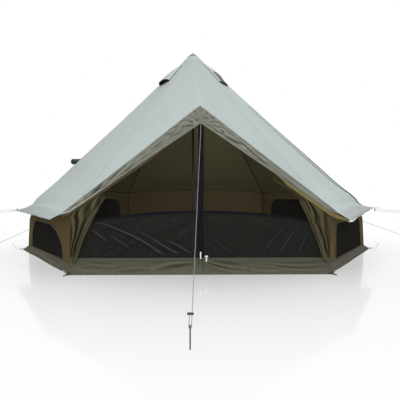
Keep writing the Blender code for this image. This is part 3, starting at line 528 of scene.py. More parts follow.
def gore_point(index, s, t):
    """A point of the roof's outer face: s down the slope, t from one ridge to the next."""
    left, right = [ridge_point(corner, s) for corner in sides_of(index)]
    down = sin(pi * min(s, 1.0))
    edge = held(t, 8.0)
    if index == 0:
        middle = crease_point(s)
        start, end, share = (left, middle, 2.0 * t) if t < 0.5 else (middle, right, 2.0 * t - 1.0)
        point = start.lerp(end, share)
        point.z -= 0.012 * 4.0 * share * (1.0 - share) * down
        edge = min(edge, abs(t - 0.5) * 12.0 + 0.2)
    else:
        point = left.lerp(right, t)
        swell = 4.0 * t * (1.0 - t)
        point.z += HEM_RISE * ease((s - 0.86) / 0.14) * swell
        point.z -= 0.014 * swell * down
    wide = min(1.0, 3.0 * s)
    point.z += 0.006 * wide * edge * ripple(point, 1.6, 3.0 + index)
    point.z += 0.0025 * wide * edge * ripple(point, 5.5, 9.0 + index)
    for corner, side in zip(sides_of(index), (t, 1.0 - t)):
        if s > 1.0 and corner in EAVE_TIPS:
            drawn = EAVE_TIPS[corner] - ridge_point(corner, 2.0)
            point += drawn * (s - 1.0) ** 2 * exp(-side * 2.5 / 0.11)
    for corner, side in zip(sides_of(index), (t, 1.0 - t)):
        if s > 0.75 and index:
            away = (point - ridge_point(corner, 2.0)).length
            pull = exp(-away / 0.32) * min(1.0, away / 0.05)
            turn = atan2(side * 3.0, 2.05 - s)
            depth = 0.012 if CORNERS[corner] == "side" else 0.008
            point.z += depth * pull * edge * sin(9.0 * turn + 2.0 * corner)
    return point


def valance_point(index, v, t):
    """The eave strip below the hem: v is 0 at the hem and 1 at its free edge."""
    top = gore_point(index, 2.0, t)
    edges = []
    for corner in sides_of(index):
        if corner in EAVE_TIPS:
            edges.append(EAVE_TIPS[corner] - Vector((0.0, 0.0, 0.004)))
        else:
            radius, height = STRIP_CORNERS[corner]
            edges.append(corner_direction(corner) * radius + UP * height)
    low = edges[0].lerp(edges[1], t)
    turn = top + (top - gore_point(index, 1.85, t)).normalized() * 0.012
    point = top.lerp(turn, v).lerp(turn.lerp(low, v), v)
    out = level_way(point)
    wave = 0.005 * sin(19.0 * t + index) + 0.006 * ripple(Vector((t * 9.0, index, 0.0)), 1.0, 4.0)
    return point + out * wave * v * held(t, 7.0)


def gore_width(index, s):
    left, right = [ridge_point(corner, s) for corner in sides_of(index)]
    return (left - right).length


def beside_ridge(corner, s, shift, lift):
    """A place beside a ridge on the roof's face, at a distance to one side of it."""
    if shift >= 0.0:
        index, t = corner, shift / gore_width(corner, s)
    else:
        index = (corner - 1) % SIDES
        t = 1.0 + shift / gore_width(index, s)
    point = gore_point(index, s, t)
    away = Vector((point.x - POLE_SHIFT, point.y, 0.0)).normalized()
    return point + (away * 0.6 + UP * 0.8) * lift


def lifted(index, s, t, lift):
    """A place a little above a gore."""
    point = gore_point(index, s, t)
    away = level_way(point)
    return point + (away * 0.5 + UP * 0.85) * lift


# Meshes
def grid_of(function, rows, columns):
    return [[function(row / rows, column / columns) for column in range(columns + 1)] for row in range(rows + 1)]


def sheet_area(grid, closed=False):
    total = 0.0
    for upper, lower in zip(grid, grid[1:]):
        for column in range(len(upper) if closed else len(upper) - 1):
            after = (column + 1) % len(upper)
            a, b, c, d = upper[column], upper[after], lower[after], lower[column]
            total += ((b - a).cross(d - a).length + (b - c).cross(d - c).length) / 2.0
    return total


def run_length(points):
    return sum((b - a).length for a, b in zip(points, points[1:]))


def even_marks(rows, columns, across, down):
    """A map of even steps in metres, across a sheet and down it."""
    return [[(column * across, row * down) for column in range(columns + 1)] for row in range(rows + 1)]


def run_marks(points):
    """How far along a line each of its points lies."""
    runs = [0.0]
    for a, b in zip(points, points[1:]):
        runs.append(runs[-1] + (b - a).length)
    return runs


def cloth_map(grid):
    """Places in metres on the cloth: along its middle column, and across from it."""
    middle = len(grid[0]) // 2
    runs = run_marks([row[middle] for row in grid])
    rows = []
    for row, run in zip(grid, runs):
        before = [-value for value in run_marks(row[middle::-1])][:0:-1]
        rows.append([(value, run) for value in before + run_marks(row[middle:])])
    return rows


def mesh_piece(name, points, faces, materials=(), edges=()):
    mesh = bpy.data.meshes.new(name)
    mesh.from_pydata(points, edges, faces)
    for material in materials:
        mesh.materials.append(material)
    item = bpy.data.objects.new(name, mesh)
    bpy.context.collection.objects.link(item)
    return item


def plain_mesh(item):
    """Turns an object with modifiers into one plain mesh."""
    bpy.context.view_layer.update()
    graph = bpy.context.evaluated_depsgraph_get()
    mesh = bpy.data.meshes.new_from_object(item.evaluated_get(graph), preserve_all_data_layers=True, depsgraph=graph)
    item.modifiers.clear()
    item.data = mesh
    return item


def tube_faces(levels, sides):
    """Faces of a closed tube whose rings of points follow one another."""
    faces = []
    for low in range(0, (levels - 1) * sides, sides):
        for step in range(sides):
            after = (step + 1) % sides
            faces.append((low + step, low + after, low + sides + after, low + sides + step))
    return faces + [tuple(reversed(range(sides))), tuple(range((levels - 1) * sides, levels * sides))]


def prism(name, outline, push):
    """A closed block that runs both ways from an outline, which cuts or keeps cloth."""
    spread = sum((a.cross(b) for a, b in zip(outline, outline[1:] + outline[:1])), Vector())
    push = push if spread.dot(push) > 0.0 else -push
    points = [point - push for point in outline] + [point + push for point in outline]
    return mesh_piece(name, points, tube_faces(2, len(outline)))


def subtract(item, tool, operation="DIFFERENCE"):
    change = item.modifiers.new("cut", "BOOLEAN")
    change.operation = operation
    change.solver = "EXACT"
    change.object = tool
    plain_mesh(item)
    bpy.data.objects.remove(tool)


def place(item, slot, replaces=()):
    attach(item, "tent")
    if replaces:
        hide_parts(*replaces)
    return item


def paint_fold_shading(grid, out, reach, gain, low=-0.55, high=0.4):
    """How far each place of a sheet stands out of its surroundings, as painted shade in its hollows and painted
    highlight on its crests.
    """
    rows, columns = len(grid), len(grid[0])
    heights = [[point.dot(out) for point in row] for row in grid]

    def mean(values, index, half):
        half = min(half, index, len(values) - 1 - index)
        return sum(values[index - half : index + half + 1]) / (2 * half + 1)

    first = [[mean(row, column, reach[1]) for column in range(columns)] for row in heights]
    turned = [list(line) for line in zip(*first)]
    painted_light_and_tone_grid = []
    for row in range(rows):
        line = []
        for column in range(columns):
            edge = min(1.0, min(column, columns - 1 - column) / 3.0, min(row, rows - 1 - row) / 3.0)
            value = (heights[row][column] - mean(turned[column], row, reach[0])) * gain * edge
            line.append(clamp(value, low, high))
        painted_light_and_tone_grid.append(line)
    return painted_light_and_tone_grid


def cloth_sheet(
    name, grid, materials, slot=None, replaces=(), thickness=CLOTH, closed=False, marks=None, outward=None, painted_light_and_tone_grid=None
):
    """A sheet of cloth whose outer face runs through a grid of points, with its own map in metres, and painted light
    and uneven tone at its points where given.
    """
    columns = len(grid[0])
    points = [point for row in grid for point in row]
    flat = [mark for row in marks or cloth_map(grid) for mark in row]
    faces = []
    for low in range(0, len(points) - columns, columns):
        for column in range(columns if closed else columns - 1):
            after = (column + 1) % columns
            faces.append((low + column, low + after, low + columns + after, low + columns + column))
    total = 0.0
    for face in faces[:: max(1, len(faces) // 60)]:
        a, b, c, d = (points[index] for index in face)
        total += (c - a).cross(d - b).dot(outward if outward is not None else (a + c) / 2.0 - INSIDE)
    if total < 0.0:
        faces = [tuple(reversed(face)) for face in faces]
    item = mesh_piece(name, points, faces, materials)
    mesh = item.data
    layer = mesh.uv_layers.new(name="cloth")
    for loop in mesh.loops:
        layer.data[loop.index].uv = flat[loop.vertex_index]
    # Painted shade and highlight, with uneven tone, kept at each point as an attribute that the materials read.
    if painted_light_and_tone_grid:
        values = [tone for row in painted_light_and_tone_grid for tone in row]
        mesh.attributes.new("painted_light_and_tone", "FLOAT", "POINT").data.foreach_set("value", values)
    for face in mesh.polygons:
        face.use_smooth = True
    thicken = item.modifiers.new("thickness", "SOLIDIFY")
    thicken.thickness = thickness
    thicken.offset = -1.0
    thicken.use_even_offset = False
    if len(materials) > 1:
        thicken.material_offset = 1
    plain_mesh(item)
    return place(item, slot, replaces) if slot else item


def flat_extent(grid):
    """Width and length of a pointed patch, measured square to its first side."""
    along = (grid[-1][0] - grid[0][0]).normalized()
    corners = [grid[0][0], grid[0][-1], grid[-1][0], grid[-1][-1], grid[-1][len(grid[-1]) // 2]]
    across = (grid[-1][-1] - grid[0][0]) - along * (grid[-1][-1] - grid[0][0]).dot(along)
    across.normalize()
    places = [[corner.dot(axis) for corner in corners] for axis in (across, along)]
    return [max(values) - min(values) for values in places]


def declare(grid):
    """Works out the size that a sheet's own grid was cut to, and hands nothing back."""
    width = max(run_length(row) for row in grid)
    length = max(run_length(column) for column in zip(*grid))
    own = sheet_area(grid)
    if own < 0.32 * width * length:
        width, length = flat_extent(grid)


def declare_strip(width, line, area):
    """Works out a narrow sheet's area from its width and the line that it follows, and hands nothing back."""
    run = run_length(line)
    area = min(area, width * run)


def repeat_tree():
    """Small bars set along lines at an even pitch, each turned along its line."""
    tree = bpy.data.node_groups.new("bars_along_lines", "GeometryNodeTree")
    sockets = tree.interface
    sockets.new_socket("Geometry", in_out="INPUT", socket_type="NodeSocketGeometry")
    for label, value in (("Pitch", 0.012), ("Length", 0.008), ("Radius", 0.0006)):
        sockets.new_socket(label, in_out="INPUT", socket_type="NodeSocketFloat").default_value = value
    sockets.new_socket("Material", in_out="INPUT", socket_type="NodeSocketMaterial")
    sockets.new_socket("Geometry", in_out="OUTPUT", socket_type="NodeSocketGeometry")
    given = tree.nodes.new("NodeGroupInput").outputs
    result = tree.nodes.new("NodeGroupOutput").inputs
    curve = node(tree, "GeometryNodeMeshToCurve", {"Mesh": given["Geometry"]})[0]
    spots = node(tree, "GeometryNodeCurveToPoints", {"Curve": curve, "Length": given["Pitch"]}, mode="LENGTH")
    turned = node(tree, "FunctionNodeAlignRotationToVector", {"Vector": spots["Tangent"]}, axis="Z")[0]
    sizes = {"Vertices": 5, "Radius": given["Radius"], "Depth": given["Length"]}
    bar = node(tree, "GeometryNodeMeshCylinder", sizes, fill_type="TRIANGLE_FAN")[0]
    inputs = {"Points": spots["Points"], "Instance": bar, "Rotation": turned}
    copies = node(tree, "GeometryNodeInstanceOnPoints", inputs)[0]
    real = node(tree, "GeometryNodeRealizeInstances", {"Geometry": copies})[0]
    dressed = node(tree, "GeometryNodeSetMaterial", {"Geometry": real, "Material": given["Material"]})[0]
    set_inputs(tree, result, {"Geometry": dressed})
    return tree


BARS = repeat_tree()


def bars_along(name, lines, material, slot, pitch=0.012, length=0.008, radius=0.0006):
    """Stitches or teeth along lines."""
    points = []
    edges = []
    for line in lines:
        first = len(points)
        points += line
        edges += [(first + index, first + index + 1) for index in range(len(line) - 1)]
    item = mesh_piece(name, points, [], edges=edges)
    change = item.modifiers.new("bars", "NODES")
    change.node_group = BARS
    wanted = {"Pitch": pitch, "Length": length, "Radius": radius, "Material": material}
    for socket in BARS.interface.items_tree:
        if socket.in_out == "INPUT" and socket.name in wanted:
            change[socket.identifier] = wanted[socket.name]
    return place(plain_mesh(item), slot)


def round_bar(name, points, radius, material, slot, replaces=(), sides=8, radii=None):
    """A round bar along points, closed at both ends by domes."""
    rings = []
    side = (points[1] - points[0]).normalized().orthogonal()
    for index, point in enumerate(points):
        ahead = (points[min(index + 1, len(points) - 1)] - points[max(index - 1, 0)]).normalized()
        side = (side - ahead * side.dot(ahead)).normalized()
        rings.append((point, side, ahead.cross(side), radii[index] if radii else radius, ahead))

    def dome(ring, sign):
        point, across, up, wide, ahead = ring
        angles = [radians(angle) for angle in (28.0, 55.0, 80.0)]
        return [(point + ahead * sign * wide * sin(angle), across, up, wide * cos(angle)) for angle in angles]

    levels = dome(rings[0], -1.0)[::-1] + [ring[:4] for ring in rings] + dome(rings[-1], 1.0)
    angles = [2.0 * pi * step / sides for step in range(sides)]
    verts = [
        centre + (across * cos(angle) + up * sin(angle)) * wide
        for centre, across, up, wide in levels
        for angle in angles
    ]
    item = mesh_piece(name, verts, tube_faces(len(levels), sides), [material])
    for face in item.data.polygons:
        face.use_smooth = len(face.vertices) == 4
    return place(item, slot, replaces)


# Camera
camera_data = bpy.data.cameras.new("camera")
camera_data.lens = 44.55
camera_data.sensor_width = 36.0
camera_data.clip_start = 0.1
camera = bpy.data.objects.new("camera", camera_data)
camera.location = (-0.1, -6.87, 0.784)
camera.rotation_euler = Euler((radians(90.0 - 0.868), 0.0, radians(-1.146)), "XYZ")
bpy.context.collection.objects.link(camera)
bpy.context.scene.camera = camera


# Guylines
LINE_RADIUS = 0.002
STAKE_RADIUS = 0.004
RUNNER_CLEAR = 0.0063
LOOP_RADIUS = 0.012
EAVE_LOOP = (2.9, 0.52)


def straight(start, end, count):
    return [start.lerp(end, step / count) for step in range(count + 1)]


def half_turn(end, side, radius, run, reach):
    """Half a round at the end of a line, back to its other side."""
    angles = [pi * step / 13.0 for step in range(1, 13)]
    return [end + side * radius * (1.0 - cos(angle)) + run * reach * sin(angle) for angle in angles]


def square_to(way, run):
    return (way - run * way.dot(run)).normalized()


def lay_cord(name, points, material, slot, stands_for):
    curve = bpy.data.curves.new(name, "CURVE")
    curve.dimensions = "3D"
    curve.bevel_depth = LINE_RADIUS
    curve.bevel_resolution = 3
    curve.use_fill_caps = True
    spline = curve.splines.new("POLY")
    spline.points.add(len(points) - 1)
    for target, point in zip(spline.points, points):
        target.co = (*point, 1.0)
    spline.use_smooth = True
    curve.materials.append(material)
    item = bpy.data.objects.new(name, curve)
    bpy.context.collection.objects.link(item)
    place(item, slot, [stands_for])


def front_y(height):
    share = max(0.0, (height - SILL_HEIGHT) / (PEAK_HEIGHT - SILL_HEIGHT))
    return -FRONT_DEPTH - share * PEAK_LEAN


def build_front_line():
    """From the door's peak to the stake, round it, and back to the runner."""
    start = Vector((0.0, front_y(PEAK_HEIGHT) - GAP, PEAK_HEIGHT))
    top = Vector((-0.1, -FRONT_DEPTH - 2.2475, 0.125))
    side = square_to(Vector((-1.0, 0.0, 0.0)), (top - start).normalized())
    clear = STAKE_RADIUS + LINE_RADIUS + GAP
    end = top - side * clear - UP * 0.012
    run = (end - start).normalized()
    points = straight(start, end, 30)
    points += half_turn(end, side, clear, run, (clear + LINE_RADIUS) / run.xy.length)
    far = end + side * 2.0 * clear
    points += straight(far, far - run * (0.09 - RUNNER_CLEAR), 7)
    lay_cord("front_line", points, GREY_CORD, "grey_cord", "guyline_front")


def eave_line(out):
    """From the eave's corner out to a loop, and back to the runner."""
    start = out * (ridge_radius("side", 2.0) + GAP) + UP * (SEAM["side"][1] - EAVE["side"][1])
    end = out * EAVE_LOOP[0] + UP * EAVE_LOOP[1]
    run = (end - start).normalized()
    side = square_to(-UP, run)
    points = straight(start, end, 30) + half_turn(end, side, LOOP_RADIUS, run, LOOP_RADIUS)
    low = side * 2.0 * LOOP_RADIUS
    return points + straight(end + low, start + run * (0.10 + RUNNER_CLEAR) + low, 30)


def wall_line(out, run_out, height):
    """From a wall's corner straight down to its stake."""
    foot_x = 2.5 + run_out
    fall = (height - LINE_RADIUS) / (foot_x - WALL_RADIUS["side"])
    slant = LINE_RADIUS * fall / sqrt(1.0 + fall * fall)
    share = (height - SKIRT_HEIGHT) / (SEAM["side"][1] - SKIRT_HEIGHT)
    lean = 0.15 * share / 0.57 * (WALL_RADIUS["side"] - SEAM["side"][0])
    start = out * (WALL_RADIUS["side"] - lean + GAP / 2.0 + slant) + UP * height
    end = out * (foot_x - STAKE_RADIUS - GAP / 2.0 - slant) + UP * 2.0 * LINE_RADIUS
    return straight(start, end, 30)


build_front_line()
for side_name, side_sign, stake_out, line_height in (("left", -1.0, 0.42, 0.2775), ("right", 1.0, 0.91, 0.38)):
    side_out = Vector((side_sign, 0.0, 0.0))
    for line_kind, line_points, line_cord, line_end in (
        ("eave", eave_line(side_out), TAN_CORD, "runner_"),
        ("wall", wall_line(side_out, stake_out, line_height), BROWN_CORD, "stake_"),
    ):
        lay_cord(
            "%s_%s_line" % (side_name, line_kind),
            line_points,
            line_cord,
            "tan_cord",
            "guyline_%s_%s" % (side_name, line_kind),
        )


# Roof
VENTS = {"left": (5, 0.36), "right": (1, 0.64)}
VENT_LENGTH = 0.22
VENT_WIDTH = 0.20
VENT_RIM = 0.06
VENT_TOP_RADIUS = 0.27
JACK_GORE = 4
JACK_PLACE = (0.76, 1.83)
JACK_LENGTH = 0.36
JACK_WIDTH = 0.34
PORT_RADIUS = 0.055
CAP_LIFT = 0.0045
CAP_RADII = (0.006, 0.014, 0.026, 0.038, 0.05, 0.07, 0.095, 0.12, 0.138, 0.150, 0.1505)
# Each crease, painted as a shade line with a painted highlight beside it: start down and across the gore, end down and
# across it, and width
PAINTED_CORNER_CREASES = (
    (0.95, 0.70, 1.95, 0.90, 0.010),
    (1.25, 0.80, 1.98, 0.95, 0.008),
    (0.70, 0.86, 1.80, 0.97, 0.008),
    (1.30, 0.56, 1.90, 0.78, 0.010),
    (1.55, 0.20, 1.95, 0.05, 0.012),
)


def shell_tree(items):
    """A tree of all faces of some pieces, for setting others on them."""
    points = []
    faces = []
    for item in items:
        first = len(points)
        points += [vertex.co.copy() for vertex in item.data.vertices]
        faces += [tuple(first + index for index in face.vertices) for face in item.data.polygons]
    return BVHTree.FromPolygons(points, faces)


def first_hit(tree, start, way):
    """Where a ray meets a surface, nudged aside where it would slip between two faces."""
    for nudge in (0.0, 0.0002, -0.0003, 0.0007, -0.0011):
        hit = tree.ray_cast(start + Vector((nudge, 1.3 * nudge, 0.0)), way)[0]
        if hit is not None:
            return hit
    return None


def roof_frame(index, share, radius):
    """A place on a gore: point, down the slope, across it and outward."""
    points, slopes = [], []
    for corner in sides_of(index):
        s = ridge_share(corner, radius)
        points.append(ridge_point(corner, s))
        slopes.append((ridge_point(corner, s + 0.01) - ridge_point(corner, s - 0.01)).normalized())
    across = (points[1] - points[0]).normalized()
    down = square_to(slopes[0].lerp(slopes[1], share), across)
    out = down.cross(across).normalized()
    return points[0].lerp(points[1], share), down, across, out if out.z > 0.0 else -out


def window_block(name, frame, length, width):
    """A closed block square to a gore, as an object that cuts or keeps cloth."""
    middle, down, across, out = frame
    ways = ((-1.0, -1.0), (1.0, -1.0), (1.0, 1.0), (-1.0, 1.0))
    corners = [middle + down * length / 2.0 * a + across * width / 2.0 * b for a, b in ways]
    return prism(name, corners, out * 0.05)


def roof_painted_light_and_tone(index, s, t):
    """Painted light of a gore: the front gore darker near its top and the right gores lighter, uneven tone, and
    painted shade along folds drawn to its pulled corner, each with a painted highlight beside it.
    """
    # Painted light: the front gore darker near its top, the right gores lighter.
    tone = -0.07 * (1.0 - ease(s / 0.5)) if index == 0 else (0.07 if index in (1, 2) else 0.0)
    tone += 0.03 * uneven(s * 2.0, t * 3.0, index * 7.0)
    if index not in (1, 5):
        return tone
    depth, mirror = (0.34, t) if index == 1 else (0.12, 1.0 - t)
    for s0, t0, s1, t1, width in PAINTED_CORNER_CREASES:
        share = clamp((s - s0) / (s1 - s0))
        if share in (0.0, 1.0):
            continue
        side = mirror - between(t0, t1, share)
        # Painted shade along the crease and a painted highlight beside it.
        tone -= depth * hump(side, width) * sin(pi * share) ** 0.5
        tone += 0.08 * hump(side - 2.0 * width, width) * sin(pi * share)
    return tone


def build_roof():
    """Six gores, each with its eave strip, and the panels let into three of them."""
    rows, columns = 64, 80
    gores = {}
    for index in range(SIDES):
        name = "front"
        grid = grid_of(lambda v, t: gore_point(index, 2.0 * v, t), rows, columns)
        painted_light_and_tone_grid = grid_of(lambda v, t: roof_painted_light_and_tone(index, 2.0 * v, t), rows, columns)
        if index:
            name = GORES[index]
            grid += grid_of(lambda v, t: valance_point(index, v, t), 8, columns)[1:]
            for row in range(1, 9):
                line = []
                for column, tone in enumerate(painted_light_and_tone_grid[rows]):
                    # Eave strip: painted shade growing below the hem, and uneven tone.
                    patchy = 0.10 * uneven(column * 0.25, row * 0.3, index * 5.0)
                    line.append(tone * (1.0 - row / 8.0) - 0.15 * min(1.0, row / 2.0) + patchy)
                painted_light_and_tone_grid.append(line)
        gores[index] = (cloth_sheet("gore_" + name, grid, [ROOF, LINING], painted_light_and_tone_grid=painted_light_and_tone_grid), grid, "roof_" + name)

    def let_in(name, index, frame, length, width, material):
        """A panel that fills a window cut in a gore."""
        gore, grid, _ = gores[index]
        item = cloth_sheet(name, grid[: rows + 2], [material], outward=UP)
        subtract(item, window_block(name + "_keep", frame, length - GAP, width - GAP), "INTERSECT")
        subtract(gore, window_block(name + "_cut", frame, length, width))
        return item

    length, width = VENT_LENGTH - VENT_RIM, VENT_WIDTH - VENT_RIM
    screens = {}
    for side, (index, share) in VENTS.items():
        top, down, across, out = roof_frame(index, share, VENT_TOP_RADIUS)
        frame = (top + down * VENT_LENGTH / 2.0, down, across, out)
        screens[side] = let_in("vent_screen_" + side, index, frame, length, width, SCREEN_DARK)
    jack_frame = roof_frame(JACK_GORE, *JACK_PLACE)
    jack = let_in("jack_panel", JACK_GORE, jack_frame, JACK_LENGTH, JACK_WIDTH, HEAT)
    tree = shell_tree([gore[0] for gore in gores.values()] + [*screens.values(), jack])
    for item, grid, node_name in gores.values():
        place(item, "roof_canvas", [node_name])
        declare(grid)
    for side, screen in screens.items():
        place(screen, "insect_mesh", ["vent_mesh_" + side])
    return jack, jack_frame, tree


def cap_edge(corner, radius):
    """A place on the cap over a ridge."""
    if radius < RING_RADIUS:
        point = Vector((POLE_SHIFT, 0.0, 0.0)) + corner_direction(corner) * radius
        point.z = APEX_HEIGHT - (APEX_HEIGHT - RING_HEIGHT - CAP_LIFT) * radius / RING_RADIUS
    else:
        point = ridge_point(corner, ridge_share(corner, radius))
        point.z += CAP_LIFT if radius < CAP_RADII[-1] else 0.0008
    return point


def build_cap():
    """Reinforced cap over the pole's head, sewn onto the top of the gores."""
    grid = []
    for radius in CAP_RADII:
        row = []
        for index in range(SIDES):
            start, end = [cap_edge(corner, radius) for corner in sides_of(index)]
            for step in range(8):
                point = start.lerp(end, step / 8.0)
                if radius < RING_RADIUS:
                    hub = Vector((POLE_SHIFT, 0.0, point.z))
                    away = point - hub
                    point = hub + away.normalized() * between(radius, away.length, radius / RING_RADIUS)
                row.append(point)
        grid.append(row)
    item = cloth_sheet("apex_cap", grid, [ROOF, LINING], "roof_canvas", ["roof_cap"], 0.002, True, outward=UP)


jack_panel, jack_frame, roof_tree = build_roof()
build_cap()


# Walls
WINDOW_SIDE = 0.28
# Each window: rise above the skirt, top, and the widths and heights of its two rounded corners
ARCHES = {
    "front_left": (0.006, 0.43, (0.26, 0.20), (0.84, 0.295)),
    "front_right": (0.006, 0.47, (0.16, 0.12), (0.20, 0.16)),
    "back_left": (0.14, 0.66, (0.20, 0.16), (0.20, 0.16)),
    "back_right": (0.14, 0.66, (0.20, 0.16), (0.20, 0.16)),
}


def foot_height(index, t):
    """Height at which a wall meets the skirt, lower towards the side corners."""
    start, end = [FOOT_LINE[CORNERS[corner]] for corner in sides_of(index)]
    return between(start, end, t)


def wall_corner(corner, at_door, share):
    if at_door:
        height = between(SKIRT_HEIGHT, POST_TOP_HEIGHT, share)
        x = between(POST_FOOT_X, POST_TOP_X, share)
        return Vector((-x if corner == 0 else x, front_y(height) + SKIN, 0.0))
    kind = CORNERS[corner]
    lean = 0.15 * share / 0.57 if share < 0.57 else 0.15 + 0.85 * (share - 0.57) / 0.43
    return corner_direction(corner) * between(WALL_RADIUS[kind], SEAM[kind][0], lean)


def wall_grid(index):
    rows, columns = 26, 72

    def ends(share):
        doors = (index == 1, index == SIDES - 1)
        return [wall_corner(corner, door, share) for corner, door in zip(sides_of(index), doors)]

    start, end = ends(1.0)
    tops = []
    for column in range(columns + 1):
        spot = start.lerp(end, column / columns) * 0.9995
        tops.append(first_hit(roof_tree, Vector((spot.x, spot.y, 3.0)), -UP).z - 0.004)
    start, end = ends(0.0)
    along = (end - start).normalized()
    out = Vector((along.y, -along.x, 0.0))
    grid = []
    for row in range(rows + 1):
        share = row / rows
        start, end = ends(share)
        line = []
        for column in range(columns + 1):
            t = 0.0006 + 0.9988 * column / columns
            point = start.lerp(end, t)
            point.z = between(foot_height(index, t), tops[column], share)
            run = t * 2.4
            spot = Vector((run * 6.0, share * 1.3 + 0.7 * run, 3.0 * index))
            bend = 0.007 * noise.noise(spot) + 0.004 * noise.noise(spot * 2.7 + Vector((5.0, 1.0, 2.0)))
            sag = -0.010 * 4.0 * t * (1.0 - t) * sin(pi * share)
            line.append(point + out * (bend + sag) * held(t, 14.0) * held(share, 5.0))
        grid.append(line)
    return grid


def arch_outline(index, margin):
    """A window's outline on its wall's plane: points, their ways out of the window, and the wall's way out."""
    start, end = [corner_direction(corner) * WALL_RADIUS[CORNERS[corner]] for corner in sides_of(index)]
    length = (end - start).length
    along = (end - start).normalized()
    out = Vector((along.y, -along.x, 0.0))
    rise, top, first, last = ARCHES[GORES[index]]
    left, right = WINDOW_SIDE + margin, length - WINDOW_SIDE - margin
    high = top - margin
    lows = [foot_height(index, x / length) + rise + margin for x in (left, right)]
    turns = [pi / 2.0 * step / 18.0 for step in range(19)]
    marks = [(between(left, right, step / 40.0), between(*lows, step / 40.0)) for step in range(41)]
    marks += [(right - last[0] * (1.0 - cos(turn)), high - last[1] * (1.0 - sin(turn))) for turn in turns]
    marks += [(between(right - last[0], left + first[0], step / 24.0), high) for step in range(1, 24)]
    marks += [(left + first[0] * (1.0 - sin(turn)), high - first[1] * (1.0 - cos(turn))) for turn in turns]
    points = [start + along * x + UP * height for x, height in marks]
    aways = []
    for before, after in zip(points[-1:] + points, points[1:] + points[:1]):
        aways.append((after - before).cross(out).normalized())
    return points, aways, out


def arch_block(name, index, margin):
    points, _, out = arch_outline(index, margin)
    return prism(name, points, out * 0.28)


def on_surface(tree, point, out):
    return first_hit(tree, point + out * 0.3, -out) or point


def closed_ribbon(name, points, aways, out, width, material, slot):
    """A binding that runs once round an opening."""
    grid = []
    for share in (-0.5, -0.42, 0.0, 0.42, 0.5):
        lift = 0.0018 if abs(share) < 0.5 else 0.00144
        grid.append([point + away * width * share + out * lift for point, away in zip(points, aways)])
    marks = [[(run, number * width / 4.0) for run in run_marks(row)] for number, row in enumerate(grid)]
    return cloth_sheet(name, grid, [material], slot, (), BINDING, True, marks, out)


def build_walls():
    walls = {}
    for index, name in GORES.items():
        grid = wall_grid(index)
        wall = cloth_sheet("panel_" + name, grid, [WALL, INNER])
        tree = shell_tree([wall])
        own = sheet_area(grid)
        extras = []
        if name in ARCHES:
            subtract(wall, arch_block("cut_" + name, index, 0.0))
            pane = cloth_sheet("screen_" + name, grid, [SCREEN_WINDOW], thickness=SCREEN_CLOTH)
            subtract(pane, arch_block("keep_" + name, index, 0.0004), "INTERSECT")
            place(pane, "insect_mesh", ["window_" + name])
            outline, aways, out = arch_outline(index, -0.004)
            seat = [on_surface(tree, point, out) for point in outline]
            trim = closed_ribbon("binding_" + name, seat, aways, out, 0.022, TRIM, "wall_canvas")
            rows = []
            for shift in (-0.007, 0.007):
                line = [point + away * shift + out * 0.0025 for point, away in zip(seat, aways)]
                rows.append(line + line[:1])
            extras = [trim, bars_along("stitches_" + name, rows, THREAD_DARK, "wall_canvas")]
            rise, top, first, last = ARCHES[name]
            wide = (outline[40] - outline[0]).length - 0.016
            tall = top - rise - SKIRT_HEIGHT + 0.03
            own -= wide * tall
        place(wall, "wall_canvas", ["wall_" + name])
        walls[name] = (grid, tree)
    return walls


walls = build_walls()


# Door front
LOW = SILL_HEIGHT + GAP
HANDS = (("left", -1.0), ("right", 1.0))
# Each fold: where it starts and ends as (x, height), how far it lifts the cloth, and its width
PANEL_FOLDS = {
    "left": (
        (0.965, 0.507, 0.357, 0.200, 0.0160, 0.0088),
        (0.600, 0.422, 0.243, 0.191, 0.0120, 0.0066),
        (0.337, 0.335, 0.091, 0.200, 0.0160, 0.0077),
        (0.479, 0.326, 0.224, 0.205, 0.0144, 0.0072),
        (0.480, 0.258, 0.376, 0.200, 0.0112, 0.0066),
        (1.061, 0.450, 0.904, 0.335, 0.0128, 0.0077),
        (0.846, 0.374, 0.688, 0.258, 0.0080, 0.0066),
        (0.157, 0.630, 0.035, 0.611, 0.0064, 0.0055),
    ),
    "right": (
        (0.036, 0.422, 0.345, 0.184, 0.0080, 0.0066),
        (0.046, 0.240, 0.279, 0.176, 0.0096, 0.0060),
        (0.030, 0.330, 0.300, 0.180, 0.0064, 0.0060),
        (0.933, 0.479, 0.754, 0.191, 0.0112, 0.0088),
        (0.838, 0.507, 0.583, 0.181, 0.0096, 0.0099),
        (1.030, 0.412, 0.943, 0.200, 0.0112, 0.0077),
    ),
}
SILL_FOLDS = (
    (-0.053, 0.124, -0.481, 0.059, 0.016, 0.018),
    (-0.481, 0.059, -0.861, 0.029, 0.010, 0.014),
    (0.023, 0.147, 0.422, 0.059, 0.016, 0.013),
    (0.422, 0.059, 0.850, 0.038, 0.010, 0.012),
    (0.042, 0.105, 0.422, 0.017, 0.014, 0.012),
    (0.564, 0.124, 1.230, 0.105, 0.009, 0.010),
    (0.659, 0.076, 1.211, 0.048, 0.009, 0.010),
    (-1.146, 0.124, -0.766, 0.086, 0.008, 0.012),
    (-1.200, 0.060, -0.950, 0.030, 0.008, 0.012),
    (0.005, 0.150, 0.000, 0.020, 0.010, 0.008),
    (-0.030, 0.140, -0.040, 0.050, 0.008, 0.008),
)
